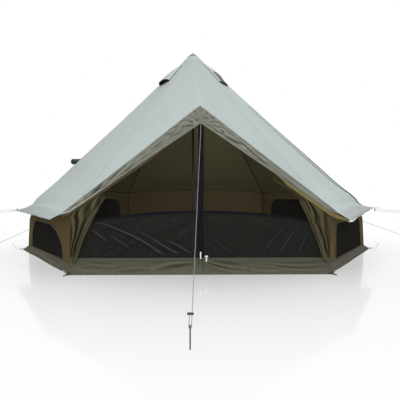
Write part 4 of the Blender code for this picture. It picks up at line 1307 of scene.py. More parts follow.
BAND_FOLDS = {
    "left": (
        (0.219, 1.389, 0.320, 1.327, -0.012, 0.012),
        (0.283, 1.345, 0.560, 1.138, -0.008, 0.008),
        (0.137, 1.434, 0.037, 1.407, 0.010, 0.009),
        (0.101, 1.478, 0.037, 1.416, 0.010, 0.009),
        (0.661, 1.120, 1.088, 0.752, -0.030, 0.020),
        (0.607, 1.083, 0.936, 0.854, -0.010, 0.008),
        (0.729, 0.974, 1.012, 0.807, -0.008, 0.010),
        (0.500, 1.200, 0.760, 1.000, -0.010, 0.009),
        (0.940, 0.870, 1.213, 0.639, -0.018, 0.012),
    ),
    "right": (
        (0.108, 1.380, 0.191, 1.327, -0.014, 0.010),
        (0.191, 1.327, 0.366, 1.228, -0.026, 0.014),
        (0.154, 1.389, 0.264, 1.300, -0.010, 0.010),
        (0.063, 1.380, 0.367, 1.165, 0.012, 0.009),
        (0.367, 1.165, 0.554, 1.029, 0.012, 0.010),
        (0.554, 1.029, 0.770, 0.891, 0.010, 0.010),
        (0.118, 1.363, 0.449, 1.201, 0.012, 0.010),
        (0.449, 1.201, 0.627, 1.056, -0.010, 0.010),
        (0.209, 1.300, 0.423, 1.120, -0.010, 0.009),
        (0.001, 1.434, 0.090, 1.460, 0.012, 0.010),
        (0.003, 1.456, 0.026, 1.522, -0.010, 0.008),
        (0.035, 1.505, 0.090, 1.460, -0.010, 0.008),
        (0.638, 0.974, 0.921, 0.807, 0.008, 0.010),
        (0.263, 1.372, 0.560, 1.129, -0.008, 0.012),
    ),
}


def door_edge(x):
    return PEAK_HEIGHT - abs(x) * (PEAK_HEIGHT - POST_TOP_HEIGHT) / POST_TOP_X


def split_height(x):
    return SPLIT_HEIGHT - SPLIT_DROOP * (x / FLAP_FOOT_X) ** 2


def flap_line(height):
    share = (height - SILL_HEIGHT) / (door_edge(FLAP_TOP_X) - LAP - SILL_HEIGHT)
    return between(FLAP_FOOT_X, FLAP_TOP_X, share)


def split_end():
    x = FLAP_FOOT_X
    for _ in range(12):
        x = flap_line(split_height(x))
    return x


def on_front(x, height, push=0.0):
    return Vector((x, front_y(height) - push, height))


def edge_between(start, end, height):
    """An edge of a patch of the door front, at a height given for each place across."""

    def edge(t):
        x = between(start, end, t)
        return x, height(x)

    return edge


def front_patch(low_edge, high_edge, sign, wrinkle, rows=30, columns=60):
    """A cloth patch of the door front between two edges of (x, height) points."""

    def point(v, t):
        x0, h0 = low_edge(t)
        x1, h1 = high_edge(t)
        x, height = between(x0, x1, v), between(h0, h1, v)
        return on_front(sign * x, height, wrinkle(x, height, v, t) * held(t, 9.0) * held(v, 7.0))

    return grid_of(point, rows, columns)


def drawn_folds(x, height, lean, scale, seed):
    """Folds drawn out along one direction."""
    along = x * cos(lean) + height * sin(lean)
    across = -x * sin(lean) + height * cos(lean)
    spot = Vector((along * scale * 0.22, across * scale, seed))
    return noise.noise(spot) + 0.5 * noise.noise(spot * 2.3 + Vector((3.0, 7.0, 1.0)))


def folded(x, height, folds):
    """How far drawn folds lift the cloth: each one a ridge from one place to another."""
    total = 0.0
    for x0, h0, x1, h1, lift, width in folds:
        run_x, run_h = x1 - x0, h1 - h0
        square = run_x * run_x + run_h * run_h
        length = sqrt(square)
        share = ((x - x0) * run_x + (height - h0) * run_h) / square
        if share < -0.2 or share > 1.2:
            continue
        near = clamp(share)
        arch = sin(pi * near)
        side = ((x - x0) * run_h - (height - h0) * run_x) / length - 0.04 * arch * length
        spread = width * (0.6 + 0.8 * near)
        fade = lift * hump((share - near) * length, 0.02)
        total += fade * hump(side, spread) * (0.35 + 0.65 * arch)
        total -= 0.5 * fade * hump(side + 2.2 * spread, spread) * arch
    return total


def gathered(v, t, seed):
    """Folds of the front wall's cloth, drawn along the tied-back flap."""
    drift = 0.9 * uneven(v * 3.0, t * 1.5, seed)
    fold = sin(2.0 * pi * (2.3 * t + drift) + seed)
    sharp = abs(fold) ** 0.7 * (1.0 if fold > 0.0 else -1.0)
    return 0.020 * sharp + 0.008 * uneven(v * 9.0, t * 6.0, seed + 3.0)


def build_door_side(name, sign, seed, panel_highlight_gain):
    """The mesh leaf and the lower panel of one side of the door, the tape between them, and the wall beside."""
    inner_x = ZIP_WIDTH / 2.0 + GAP
    outer_x = split_end() - GAP

    def under_band(x):
        return door_edge(x) - LAP

    def split_edge(shift):
        return edge_between(inner_x, outer_x, lambda x: split_height(x) + shift)

    def floor_edge(start, end):
        return edge_between(start, end, lambda x: LOW)

    def leaf_folds(x, height, v, t):
        return 0.010 * drawn_folds(x, height, radians(118.0), 5.0, seed) - 0.010 * sin(pi * t)

    def panel_folds(x, height, v, t):
        broad = 0.010 * drawn_folds(x, height, radians(150.0), 4.2, seed + 2.0)
        fine = 0.004 * drawn_folds(x, height, radians(146.0), 13.0, seed + 8.0)
        return broad + fine + folded(x, height, PANEL_FOLDS[name])

    def wall_folds(x, height, v, t):
        return gathered(v, t, seed)

    def hang(piece, grid, materials, slot, node_name, thickness=CLOTH, painted_light_and_tone_grid=None):
        replaced = [node_name + name]
        item = cloth_sheet(piece + name, grid, materials, slot, replaced, thickness, outward=FRONT_OUT, painted_light_and_tone_grid=painted_light_and_tone_grid)
        declare(grid)

    upper = edge_between(inner_x, FLAP_TOP_X - GAP, under_band)
    grid = front_patch(split_edge(GAP), upper, sign, leaf_folds)
    hang("mesh_leaf_", grid, [SCREEN_DARK], "insect_mesh", "door_mesh_", SCREEN_CLOTH)
    grid = front_patch(floor_edge(inner_x, FLAP_FOOT_X - GAP), split_edge(-GAP), sign, panel_folds, 80, 190)
    # Painted pale blue highlight on the crests of the lower panel's folds.
    painted_light_and_tone_grid = paint_fold_shading(grid, FRONT_OUT, (6, 6), panel_highlight_gain, -0.1, 0.5)
    hang("lower_panel_", grid, [SCREEN_DENSE], "dense_mesh", "door_panel_", SCREEN_CLOTH, painted_light_and_tone_grid)
    grid = []
    for step in range(41):
        x = between(inner_x, outer_x, step / 40.0)
        centre = on_front(sign * x, split_height(x), 0.0022)
        grid.append([centre + UP * TAPE_WIDTH * share for share in (-0.5, -0.45, 0.0, 0.45, 0.5)])
    tape = cloth_sheet("seam_tape_" + name, grid, [TAPE], "zip_tape", thickness=BINDING, outward=FRONT_OUT)
    declare(grid)
    upper = edge_between(FLAP_TOP_X, POST_TOP_X, under_band)
    grid = front_patch(floor_edge(FLAP_FOOT_X, POST_FOOT_X - 0.0021), upper, sign, wall_folds, 50, 40)
    # Painted shade in the front cloth's folds and painted highlight on their crests.
    painted_light_and_tone_grid = paint_fold_shading(grid, FRONT_OUT, (6, 5), 38.0, -0.6, 0.6)
    hang("front_cloth_", grid, [FLAP, INNER], "wall_canvas", "front_wall_", painted_light_and_tone_grid=painted_light_and_tone_grid)


def build_zip():
    def point(v, t):
        x = ZIP_WIDTH * (t - 0.5)
        height = between(LOW, door_edge(x) - LAP, v)
        bend = 0.0035 * uneven(x * 30.0, height * 6.0, 2.0) * held(v, 20.0)
        return on_front(x, height, bend * held(t, 6.0))

    grid = grid_of(point, 90, 14)
    item = cloth_sheet("zip_strip", grid, [TAPE], "zip_tape", ["door_zip"], 0.001, outward=FRONT_OUT)
    heights = [between(0.225, 1.395, step / 300.0) for step in range(301)]
    rows = [[on_front(shift, height, -0.0010) for height in heights] for shift in (-0.0022, 0.0022)]
    teeth = bars_along("zip_coils", rows, TEETH, "zip_tape", 0.0034, 0.0016, 0.0012)
    line = [row[7] for row in grid]
    declare_strip(ZIP_WIDTH, line, sheet_area(grid))


def band_grid(name, sign):
    tip = ridge_point(0 if sign < 0.0 else 1, 2.0)
    gable = Vector((sign * GAP, -GABLE_REACH, GABLE_HEIGHT))
    peak = on_front(sign * GAP, PEAK_HEIGHT)
    foot = on_front(sign * POST_TOP_X, POST_TOP_HEIGHT)
    push = Vector((0.0, -0.5, 1.0))
    fade, steep = (0.28, 30.0) if name == "left" else (0.55, 46.0)

    def point(v, along):
        hem = gable.lerp(tip, along) - Vector((0.0, SKIN, 0.0))
        spot = hem.lerp(peak.lerp(foot, along), v)
        spot += push * (0.02 * sin(pi * v) * (1.0 - along))
        away = (spot - peak).length
        turn = atan2(spot.z - peak.z, abs(spot.x) + 0.004)
        phase = 15.0 * max(turn, -0.16) + steep * min(turn + 0.16, 0.0) + 0.6 * sign
        phase += 1.2 * uneven(spot.x * 2.0, spot.z * 2.0, 5.0)
        rays = exp(-away / fade) * min(1.0, away / 0.05) * 0.008 * sin(phase)
        rays *= 0.6 + 0.8 * noise.noise(spot * 9.0)
        long_fold = 0.011 * uneven(along * 3.0, v * 4.5 + 0.8 * along, 4.0 + sign)
        fine = 0.004 * uneven(along * 14.0, v * 9.0, 8.0 + sign)
        valley = -0.030 * hump(v - 0.78 + 0.2 * (1.0 - along), 0.10) * ease((along - 0.45) / 0.3)
        if name == "right":
            ends = ease(along / 0.1) * ease((0.62 - along) / 0.2)
            valley -= 0.018 * hump(v - 0.35 - 0.9 * (along - 0.2), 0.07) * ends
        hold = held(v, 9.0) * min(1.0, 30.0 * along, 12.0 * (1.0 - along))
        creases = folded(abs(spot.x), spot.z, BAND_FOLDS[name])
        return spot + push * (rays + long_fold + fine + valley + creases) * hold

    return grid_of(point, 40, 220)


def build_band(name, sign):
    grid = band_grid(name, sign)
    # Painted shade in the band's creases and painted highlight on its ridges.
    painted_light_and_tone_grid = paint_fold_shading(grid, Vector((0.0, -0.45, 0.9)), (4, 8), 115.0, -0.68, 0.42)
    out = Vector((0.0, -0.7, 0.7))
    replaced = ["door_band_" + name]
    item = cloth_sheet("band_" + name, grid, [BAND, LINING], "band_canvas", replaced, outward=out, painted_light_and_tone_grid=painted_light_and_tone_grid)
    declare(grid)


# Each rolled flap's path as (x, height), where None stands for the flap's own line
ROLL_PATHS = {
    "left": ((-0.89, 0.755), (None, 0.4395), (-FLAP_FOOT_X, 0.124)),
    "right": ((0.67, 0.90), (0.90, 0.755), (None, 0.4395), (FLAP_FOOT_X, 0.124)),
}
ROLL_PUSH = 0.0226


def spiral(turns, columns):
    """Share and angle of each place from the middle of a roll to its outer edge."""
    return [(column / columns, 2.0 * pi * turns * column / columns) for column in range(columns + 1)]


def build_roll(name, sign):
    """A door flap rolled up on itself and tied back."""
    rows, columns = 60, 132
    knots = [(sign * flap_line(height) if x is None else x, height) for x, height in ROLL_PATHS[name]]
    (path_x, path_height), run = smooth_path(knots)
    tie = 0.30 if name == "right" else 0.10

    def middle(span):
        return on_front(path_x(span), path_height(span), ROLL_PUSH)

    grid = []
    painted_light_and_tone_grid = []
    for row in range(rows + 1):
        share = row / rows
        span = run * share
        centre = middle(span)
        ahead = (middle(span + 0.004) - middle(span - 0.004)).normalized()
        side = FRONT_OUT.cross(ahead).normalized()
        front = ahead.cross(side).normalized()
        if front.y > 0.0:
            front = -front
        radius = 0.013 + 0.009 * sin(pi * (0.15 + 0.6 * share))
        radius *= 0.55 + 0.45 * ease((share - 0.28) / 0.10) if name == "right" else 0.82
        radius *= 1.0 - 0.22 * hump(span - tie, 0.03)
        shade = 0.55 * (1.0 - ease((span - tie) / 0.06)) + 0.25 * hump(span - tie, 0.012)
        line = []
        tone = []
        for part, angle in spiral(6.0, columns):
            crumple = uneven(cos(angle) * 1.4 + span * 5.0, sin(angle) * 1.4, 3.0 + part * 2.0)
            cleft = 1.0 - 0.26 * hump((angle + 1.1) % (2.0 * pi) - pi, 0.30) * part
            reach = radius * (0.16 + 0.84 * part) * cleft * (1.0 + 0.16 * crumple * part)
            line.append(centre + side * reach * 1.08 * cos(angle) + front * reach * 0.92 * sin(angle))
            # Painted shade in the roll's cleft and dents and painted highlight on its bulges; the roll is also darker
            # before and at its tie.
            tone.append(clamp(2.6 * (cleft - 0.93) + 1.1 * crumple - shade, -0.75, 0.5))
        grid.append(line)
        painted_light_and_tone_grid.append(tone)
    marks = even_marks(rows, columns, 0.006, run / rows)
    replaced = ["door_flap_" + name]
    item = cloth_sheet(
        "rolled_flap_" + name, grid, [FLAP, FLAP], "wall_canvas", replaced, 0.0009, marks=marks, painted_light_and_tone_grid=painted_light_and_tone_grid
    )
    declare(grid)


build_door_side("left", -1.0, 1.0, 70.0)
build_door_side("right", 1.0, 5.0, 28.0)
build_zip()
for builder in (build_band, build_roll):
    for hand, hand_sign in HANDS:
        builder(hand, hand_sign)


# Skirt, sill and floor
def build_skirt():
    order = (1, 2, 3, 4, 5, 0)
    heads = []
    feet = []
    for corner in order:
        for radii, spots in ((WALL_RADIUS, heads), (FOOT_RADIUS, feet)):
            spot = corner_direction(corner) * radii[CORNERS[corner]]
            if CORNERS[corner] == "front":
                spot.y = -FRONT_DEPTH + SKIN
            spots.append(spot)
    grid = []
    painted_light_and_tone_grid = []
    rows, per_side = 20, 60
    marks = [(side, step / per_side) for side in range(5) for step in range(per_side)] + [(4, 1.0)]
    for row in range(rows + 1):
        share = row / rows
        # Painted shade in a band near the skirt's foot.
        rim = 0.30 * hump(share - 0.86, 0.05)
        line = []
        tone = []
        for side, t in marks:
            head = heads[side].lerp(heads[side + 1], t)
            point = head.lerp(feet[side].lerp(feet[side + 1], t), share)
            point.z = (foot_height(order[side], t) - GAP) * (1.0 - share)
            out = level_way(point)
            run = side * 2.4 + t * 2.4
            hold = held(t, 16.0) * min(1.0, 5.0 * share)
            wave = uneven(run * 1.2, share * 5.5 + 0.5 * run, 6.0) + 0.5 * uneven(run * 2.5, share * 9.0, 2.0)
            point += out * 0.011 * wave * hold * (0.4 + 0.6 * share)
            point.z = max(point.z + 0.002 * wave * hold * (1.0 - share), 0.0015 * (1.0 - share))
            line.append(point)
            # Painted shade in the folds' hollows and highlight on their crests, and painted light towards the skirt's
            # top.
            fade = 1.0 - 0.4 * ease(4.0 * min(t, 1.0 - t))
            tone.append(clamp((0.75 * wave * hold - rim + 0.10 * (1.0 - share)) * fade, -0.5, 0.35))
        grid.append(line)
        painted_light_and_tone_grid.append(tone)
    item = cloth_sheet("skirt_cloth", grid, [SKIRT, FLOOR], "skirt_cloth", ["skirt"], painted_light_and_tone_grid=painted_light_and_tone_grid)
    declare(grid)


def build_sill():
    def point(v, t):
        height = SILL_HEIGHT * (1.0 - v)
        x = (2.0 * t - 1.0) * between(POST_FOOT_X, HALF_SIDE, v)
        fold = folded(x, height, SILL_FOLDS) + 0.005 * uneven(x * 3.0, height * 16.0, 3.0)
        hold = held(t, 30.0) * min(1.0, 4.0 * v, 2.0 * (1.0 - v) + 0.1)
        return Vector((x, -FRONT_DEPTH - fold * hold, height))

    grid = grid_of(point, 28, 280)
    # Painted shade in the sill's folds and painted highlight on their crests.
    painted_light_and_tone_grid = paint_fold_shading(grid, FRONT_OUT, (4, 9), 55.0)
    replaced = ["door_sill"]
    item = cloth_sheet("sill_cloth", grid, [SKIRT, FLOOR], "skirt_cloth", replaced, outward=FRONT_OUT, painted_light_and_tone_grid=painted_light_and_tone_grid)
    declare(grid)


def build_floor():
    hub = Vector((POLE_SHIFT, 0.0, 0.0))
    grid = []
    for row in range(14):
        share = (row / 13.0) ** 0.8
        line = []
        for index in range(SIDES):
            ends = []
            for corner in sides_of(index):
                radius = FOOT_RADIUS[CORNERS[corner]] - 0.0046 / cos(pi / 6.0)
                ends.append(corner_direction(corner) * radius)
            for step in range(16):
                rim = ends[0].lerp(ends[1], step / 16.0)
                point = (hub + (rim - hub).normalized() * 0.012).lerp(rim, share)
                lift = 0.0 if (point - hub).length < 0.2 else 0.002 * (1.0 + ripple(point, 3.0, 7.0))
                point.z = 0.0022 + lift * min(1.0, 6.0 * (1.0 - share))
                line.append(point)
        grid.append(line)
    marks = [[(point.x, point.y) for point in line] for line in grid]
    item = cloth_sheet("floor_sheet", grid, [FLOOR], "floor_cloth", ["groundsheet"], CLOTH, True, marks, UP)


build_skirt()
build_sill()
build_floor()


# Roof vents and flue port
COVER_PLACE = (0.985, 1.655)
COVER_LENGTH = 0.46
COVER_RADIUS = 0.034
HOOD_SHAPES = {"left": (0.07, 0.362, 0.78), "right": (0.10, 0.412, 0.58)}


def seated(spot, out):
    hit = first_hit(roof_tree, spot + out * 0.08, -out)
    return hit if hit is not None else roof_tree.find_nearest(spot)[0]


def build_vent(name, index, share):
    """A hood over a roof vent, with its edges and the mesh in its mouth."""
    rows, columns = 26, 36
    top, down, across, out = roof_frame(index, share, VENT_TOP_RADIUS)
    shift, length, flare = HOOD_SHAPES[name]
    start = top - down * shift

    def hood_point(part, angle, lift=0.0):
        half = VENT_WIDTH / 2.0 * (0.56 + flare * part)
        height = 0.008 + 0.036 * sin(pi * 0.84 * part)
        if name == "left":
            height = 0.008 + 0.050 * part**0.8 + 0.008 * sin(pi * part)
        base = seated(start + down * length * part - across * half * cos(angle), out) + out * 0.0016
        crumple = 1.0 + 0.12 * uneven(angle * 3.5, part * 4.4, 5.0 + index)
        return base + out * (height * sin(angle) ** 0.75 * crumple + lift)

    grid = grid_of(lambda v, t: hood_point(v, pi * t), rows, columns)
    hood = cloth_sheet(
        "hood_" + name, grid, [ROOF, WEBBING], "roof_canvas", ["vent_hood_" + name], outward=out
    )
    lip = [point - down * 0.002 for point in grid[-1]]
    round_bar("hood_lip_" + name, lip, 0.0065, BLACK, "black_plastic", sides=10)
    for number, column in enumerate((0, columns)):
        line = [row[column] + out * 0.001 for row in grid]
        round_bar("hood_piping_%s_%d" % (name, number), line, 0.0035, BLACK, "black_plastic")
    declare(grid)
    if name == "right":
        grid = grid_of(lambda v, t: hood_point(0.50 + 0.46 * v, pi * (0.16 + 0.68 * t), 0.0018), 8, 16)
        window = cloth_sheet(
            "hood_mesh_" + name, grid, [SCREEN_GREY], "insect_mesh", thickness=HOOD_SCREEN, outward=out
        )
        declare(grid)
    mouth = []
    for row in range(9):
        line = []
        for column in range(columns + 1):
            spot = hood_point(0.95, pi * column / columns)
            base = seated(spot, out) + out * 0.001
            line.append(base.lerp(spot, row / 8.0 * 0.97))
        mouth.append(line)
    screen = cloth_sheet(
        "hood_screen_" + name, mouth, [SCREEN_DARK], "insect_mesh", thickness=HOOD_SCREEN, outward=down
    )


def ring_round(centre, first, second, radius, steps):
    """Places round a centre, from one direction towards another."""
    angles = [2.0 * pi * step / steps for step in range(steps)]
    return [centre + (first * cos(angle) + second * sin(angle)) * radius for angle in angles]


def build_jack():
    """The flue port, and its cover rolled up and tied beside it."""
    middle, _, _, out = jack_frame
    plan = (Vector((1.0, 0.0, 0.0)), Vector((0.0, 1.0, 0.0)))
    subtract(jack_panel, prism("port_block", ring_round(middle, *plan, PORT_RADIUS, 48), UP * 0.3))
    place(jack_panel, "jack_panel", ["stove_jack"])
    grid = []
    for reach in (-0.001, 0.003, 0.02, 0.024):
        above = ring_round(Vector((middle.x, middle.y, 3.0)), *plan, PORT_RADIUS + reach, 48)
        grid.append([first_hit(roof_tree, spot, -UP) + out * 0.0035 for spot in above])
    collar = cloth_sheet("port_collar", grid, [BLACK], "black_plastic", (), 0.002, True, outward=out)
    spot, down, across, out = roof_frame(JACK_GORE, *COVER_PLACE)
    start = spot + out * 0.0346 + across * 0.06
    end = start - across * COVER_LENGTH
    rows, columns = 40, 168
    grid = []
    for row in range(rows + 1):
        share = row / rows
        centre = start.lerp(end, share)
        tied = hump(share - 0.22, 0.03) + hump(share - 0.78, 0.03)
        line = []
        for part, angle in spiral(7.0, columns):
            reach = COVER_RADIUS * (0.12 + 0.88 * part) * (1.0 - 0.14 * tied * part)
            reach *= 1.0 + 0.05 * uneven(cos(angle) * 1.2, sin(angle) * 1.2, share * 6.0 + part)
            line.append(centre + (down * cos(angle) + out * sin(angle)) * reach)
        grid.append(line)
    marks = even_marks(rows, columns, 0.01, COVER_LENGTH / rows)
    replaced = ["stove_jack_cover"]
    roll = cloth_sheet("rolled_cover", grid, [ROOF, HEAT], "roof_canvas", replaced, BINDING, marks=marks)
    for number, (share, wide, radius, cloth) in enumerate(
        ((0.22, 0.011, 0.0325, WEBBING), (0.78, 0.011, 0.0325, WEBBING), (0.075, 0.034, 0.0375, BLACK))
    ):
        centre = start.lerp(end, share)
        shifts = (-wide, 0.002 - wide, wide - 0.002, wide)
        band = [ring_round(centre + across * shift, down, out, radius, 40) for shift in shifts]
        marks = [[(0.005 * step, shift) for step in range(40)] for shift in (0.0, 0.002, 0.02, 0.022)]
        cloth_sheet("cover_tie_%d" % number, band, [cloth], "zip_tape", (), 0.0014, True, marks)
    rings = ((0.0375, -0.012), (0.0376, 0.002), (0.035, 0.005), (0.020, 0.0062), (0.002, 0.0066))
    band = [ring_round(start + across * shift, down, out, radius, 40) for radius, shift in rings]
    marks = even_marks(4, 39, 0.005, 0.01)
    cloth_sheet("cover_end", band, [WEBBING], "zip_tape", (), BINDING, True, marks)


for hand, vent_place in VENTS.items():
    build_vent(hand, *vent_place)
build_jack()


# Seams, bindings and piping
def strip_sheet(name, grid, material, slot, outward, thickness, width, middle, stitches=()):
    """A narrow sheet whose rows run across it, measured along the line down its middle, and its stitches."""
    item = cloth_sheet(name, grid, [material], slot, thickness=thickness, outward=outward)
    extras = [bars_along(*stitches, THREAD_SEAM, slot)] if stitches else []
    line = [row[middle] for row in grid]
    declare_strip(width, line, sheet_area(grid))


def build_ridge_tape(corner):
    """Tape and stitches over a ridge's seam, and the piping under it."""
    last = 1.55 if CORNERS[corner] == "side" else 1.985
    spots = [between(0.055, last, step / 110.0) for step in range(111)]
    out = corner_direction(corner) + UP
    rows = [[beside_ridge(corner, s, shift, 0.0024) for s in spots] for shift in (-0.0095, 0.0095)]
    lifts = [(-0.013, 0.0004), *[(shift, 0.0020) for shift in (-0.012, -0.006, 0.0, 0.006, 0.012)], (0.013, 0.0004)]
    grid = [[beside_ridge(corner, s, *lift) for lift in lifts] for s in spots]
    name = "ridge_tape_%d" % corner
    stitches = ("ridge_stitches_%d" % corner, rows)
    strip_sheet(name, grid, ROOF, "roof_canvas", out, BINDING, TAPE_WIDTH, 3, stitches)
    grid = [[beside_ridge(corner, s, shift, -0.0042) for shift in (-0.009, -0.004, 0.004, 0.009)] for s in spots[4:]]
    name = "ridge_piping_%d" % corner
    strip_sheet(name, grid, WEBBING, "zip_tape", -out, BINDING, 0.018, 1)


def build_hems():
    grid = grid_of(lambda v, t: lifted(0, 1.86 + 0.139 * v, t, 0.0022), 4, 160)
    out = Vector((0.0, -0.5, 1.0))
    hem = cloth_sheet("gable_hem", grid, [ROOF], "roof_canvas", thickness=0.0016, outward=out)
    rows = [[lifted(0, s, column / 320.0, 0.0028) for column in range(321)] for s in (1.875, 1.965)]
    stitch = bars_along("gable_hem_stitches", rows, THREAD_SEAM, "roof_canvas", 0.010, 0.0075, 0.0009)
    declare_strip(0.035, grid[2], sheet_area(grid))
    places = [0.01 + 0.98 * column / 200.0 for column in range(201)]
    for index, name in GORES.items():
        rows = [[lifted(index, s, t, 0.0006) for t in places] for s in (1.93, 1.985)]
        line = []
        for point in [valance_point(index, 0.9, t) for t in places]:
            line.append(point + (level_way(point) + UP) * 0.0006)
        bars_along("eave_stitches_" + name, rows + [line], THREAD_SEAM, "roof_canvas")
    # Two dark bars on the right front gore near its outer ridge are painted shade lines along the silhouette.
    for number, (start_t, end_t, wide) in enumerate(((0.80, 0.90, 0.0050), (0.955, 0.972, 0.0075))):
        line = []
        for step in range(101):
            s = 0.34 + 1.20 * step / 100.0
            line.append(lifted(1, s, between(start_t, end_t, ease((s - 0.34) / 0.9)), 0.0015))
        radii = [wide * (0.25 + 0.75 * ease(step / 40.0)) for step in range(101)]
        round_bar("corner_piping_%d" % number, line, wide, SEAM_SHADE, "roof_canvas", radii=radii)


def edge_line(sign, first, count):
    """Points along the door's edge and on to the hem's corner."""
    points = []
    for step in range(count + 1):
        x = between(first, POST_TOP_X, step / count)
        points.append(on_front(sign * x, door_edge(x)))
    tip = ridge_point(0 if sign < 0.0 else 1, 2.0) - Vector((0.0, 0.004, 0.0))
    return points + [points[count].lerp(tip, step / 8.0) for step in range(1, 9)]


def build_door_edge(name, sign):
    """Binding along the door's edge, and the strip of lining that shows below it."""
    line = edge_line(sign, 0.004, 100)
    slope = Vector((0.0, -0.15, 1.0)).normalized()
    grid = []
    for index, point in enumerate(line):
        lift = 0.007 + 0.002 * uneven(index * 0.11, 3.0 * sign, 1.0)
        wide = 0.0035 - 0.0015 * ease(index / 60.0)
        if name == "left":
            wide = 0.0016 + 0.0080 * ease((index - 60.0) / 38.0)
        shares = (-1.0, -0.7, -0.3, 0.3, 0.7, 1.0)
        grid.append([point + slope * wide * share + FRONT_OUT * lift * (1.0 - share * share) for share in shares])
    item = cloth_sheet(
        "edge_binding_" + name, grid, [PALE_EDGE], "band_canvas", thickness=BINDING, outward=FRONT_OUT
    )
    declare_strip(0.034, line, sheet_area(grid))
    if name == "right":
        first, depth, material = 0.70, 0.036, YELLOW
    else:
        first, depth, material = 0.30, 0.026, TRIM
    line = edge_line(sign, first, 60)
    if name == "right":
        end = Vector((1.385, -2.402, 0.522))
        line = line[:61] + [line[60].lerp(end, step / 12.0) for step in range(1, 11)]
    grid = []
    for row in range(6):
        share = row / 5.0
        points = []
        for index, point in enumerate(line):
            wide = depth * ease(index / 14.0) * (1.0 - 0.5 * ease((index - 62.0) / 8.0))
            bulge = 0.012 * sin(pi * share) + 0.002 + 0.003 * uneven(index * 0.3, share, sign)
            points.append(point - UP * (0.006 + (wide + 0.002) * share) + FRONT_OUT * bulge)
        grid.append(points)
    item = cloth_sheet(
        "edge_lining_" + name, grid, [material], "wall_canvas", thickness=BINDING, outward=FRONT_OUT
    )
    declare(grid)


def build_tips():
    """Hems of the right front gore's corner, a pale one as painted highlight and a dark one below it as painted shade,
    a dark bar round the cap's foot as painted shade, and straps at the drawn-out corners.
    """
    # The pale hem is a painted highlight on the curled corner; the dark strip a little below it is painted shade.
    for name, drop, material, wide in (("pale", 0.0, HIGHLIGHT_HEM, 0.0085), ("dark", -0.0145, TAPE, 0.0060)):
        grid = []
        for step in range(25):
            t = -0.02 + 0.17 * step / 24.0
            spot = valance_point(1, 1.0, max(t, 0.0)) + Vector((min(t, 0.0) * 1.5, -0.0030, drop))
            spot.z += 0.006 * sin(pi * step / 24.0)
            half = wide * (1.0 - 0.75 * ease((step - 8.0) / 16.0))
            shifts = (-1.0, -0.5, 0.0, 0.5, 1.0)
            grid.append([spot + Vector((0.0, -0.003 * (1.0 - shift * shift), shift * half)) for shift in shifts])
        out = Vector((0.5, -0.8, 0.0))
        curl = cloth_sheet("corner_hem_" + name, grid, [material], "roof_canvas", thickness=0.0014, outward=out)
        line = [row[2] for row in grid]
        area = max(sheet_area(grid), 0.62 * wide * run_length(line))
        declare_strip(2.0 * wide, line, area)
    # A dark bar round the cap's foot, coloured as painted seam shade.
    line = []
    for index in range(SIDES):
        for step in range(8):
            s = 0.007 - 0.003 * sin(pi * (index + step / 8.0) / 3.0)
            line.append(lifted(index, s, step / 8.0, 0.0045))
    round_bar("cap_piping", line + [line[0].copy()], 0.0038, SEAM_SHADE, "roof_canvas")
    for corner, sign, gore in ((2, 1.0, "roof_front_right"), (5, -1.0, "roof_front_left")):
        tip = EAVE_TIPS[corner]
        grid = []
        for step in range(25):
            share = step / 24.0
            spot = Vector((tip.x + sign * (0.115 * share - 0.030), 0.0, tip.z + 0.003 - 0.010 * share))
            half = 0.0075 * (1.0 - 0.5 * share)
            grid.append([spot + Vector((0.0, 1.0, 0.25)) * shift * half for shift in (-1.0, -0.4, 0.4, 1.0)])
        out = Vector((0.0, -0.2, 1.0))
        strip_sheet("eave_strap_%d" % corner, grid, TAN_WEB, "zip_tape", out, 0.002, 0.015, 1)


def build_wall_piping():
    """Dark piping at the walls' corners and along their tops, and the inner bindings of the back windows."""
    for corner in (2, 3, 4, 5):
        line = [row[0] for row in walls[GORES[corner]][0]]
        round_bar("wall_piping_%d" % corner, line, 0.0045, WALL, "wall_canvas")
    for corner, name, column in ((0, "front_left", -1), (1, "front_right", 0)):
        line = [row[column] for row in walls[name][0]]
        round_bar("post_piping_%d" % corner, line, 0.0055, TRIM, "wall_canvas")
    for index, name in GORES.items():
        grid, tree = walls[name]
        line = [Vector((point.x * 0.9965, point.y * 0.9965, point.z - 0.014)) for point in grid[-1]]
        round_bar("top_piping_" + name, line, 0.0045, WEBBING, "zip_tape")
        if name in ("back_left", "back_right"):
            outline, aways, out = arch_outline(index, -0.006)
            seat = [on_surface(tree, point, out) - out * 0.0030 for point in outline]
            closed_ribbon("inner_binding_" + name, seat, aways, -out, 0.016, WEBBING, "zip_tape")


for ridge in range(SIDES):
    build_ridge_tape(ridge)
build_hems()
for hand, hand_sign in HANDS:
    build_door_edge(hand, hand_sign)
build_tips()
build_wall_piping()


# Pegs
SIDE_PEG = (
    (2.405, 0.0, 0.005),
    (2.455, 0.0, 0.0038),
    (2.495, 0.0, 0.010),
    (2.518, 0.0, 0.040),
    (2.530, 0.0, 0.070),
    (2.541, 0.0, 0.0745),
    (2.548, 0.0, 0.058),
)
FRONT_PEG = (
    (1.250, -2.168, 0.0036),
    (1.262, -2.188, 0.0090),
    (1.270, -2.204, 0.0306),
    (1.276, -2.214, 0.0504),
    (1.284, -2.228, 0.0540),
    (1.290, -2.238, 0.0396),
)
PEG_ROD = ((1.236, -2.172, 0.016), (1.254, -2.196, 0.010), (1.282, -2.236, 0.0055))
PEG_LOOPS = (("side", (2.418, 0.0, 0.010), (1.0, 0.0)), ("front", (1.256, -2.176, 0.012), (0.5, -0.866)))


def wire(name, sign, points, radius, material, replaces=()):
    """A bent wire through a few places, rounded at its bends."""
    axes, run = smooth_path([(sign * x, y, z) for x, y, z in points])
    line = [Vector([axis(run * step / 48.0) for axis in axes]) for step in range(49)]
    round_bar(name, line, radius, material, "peg_steel", replaces)


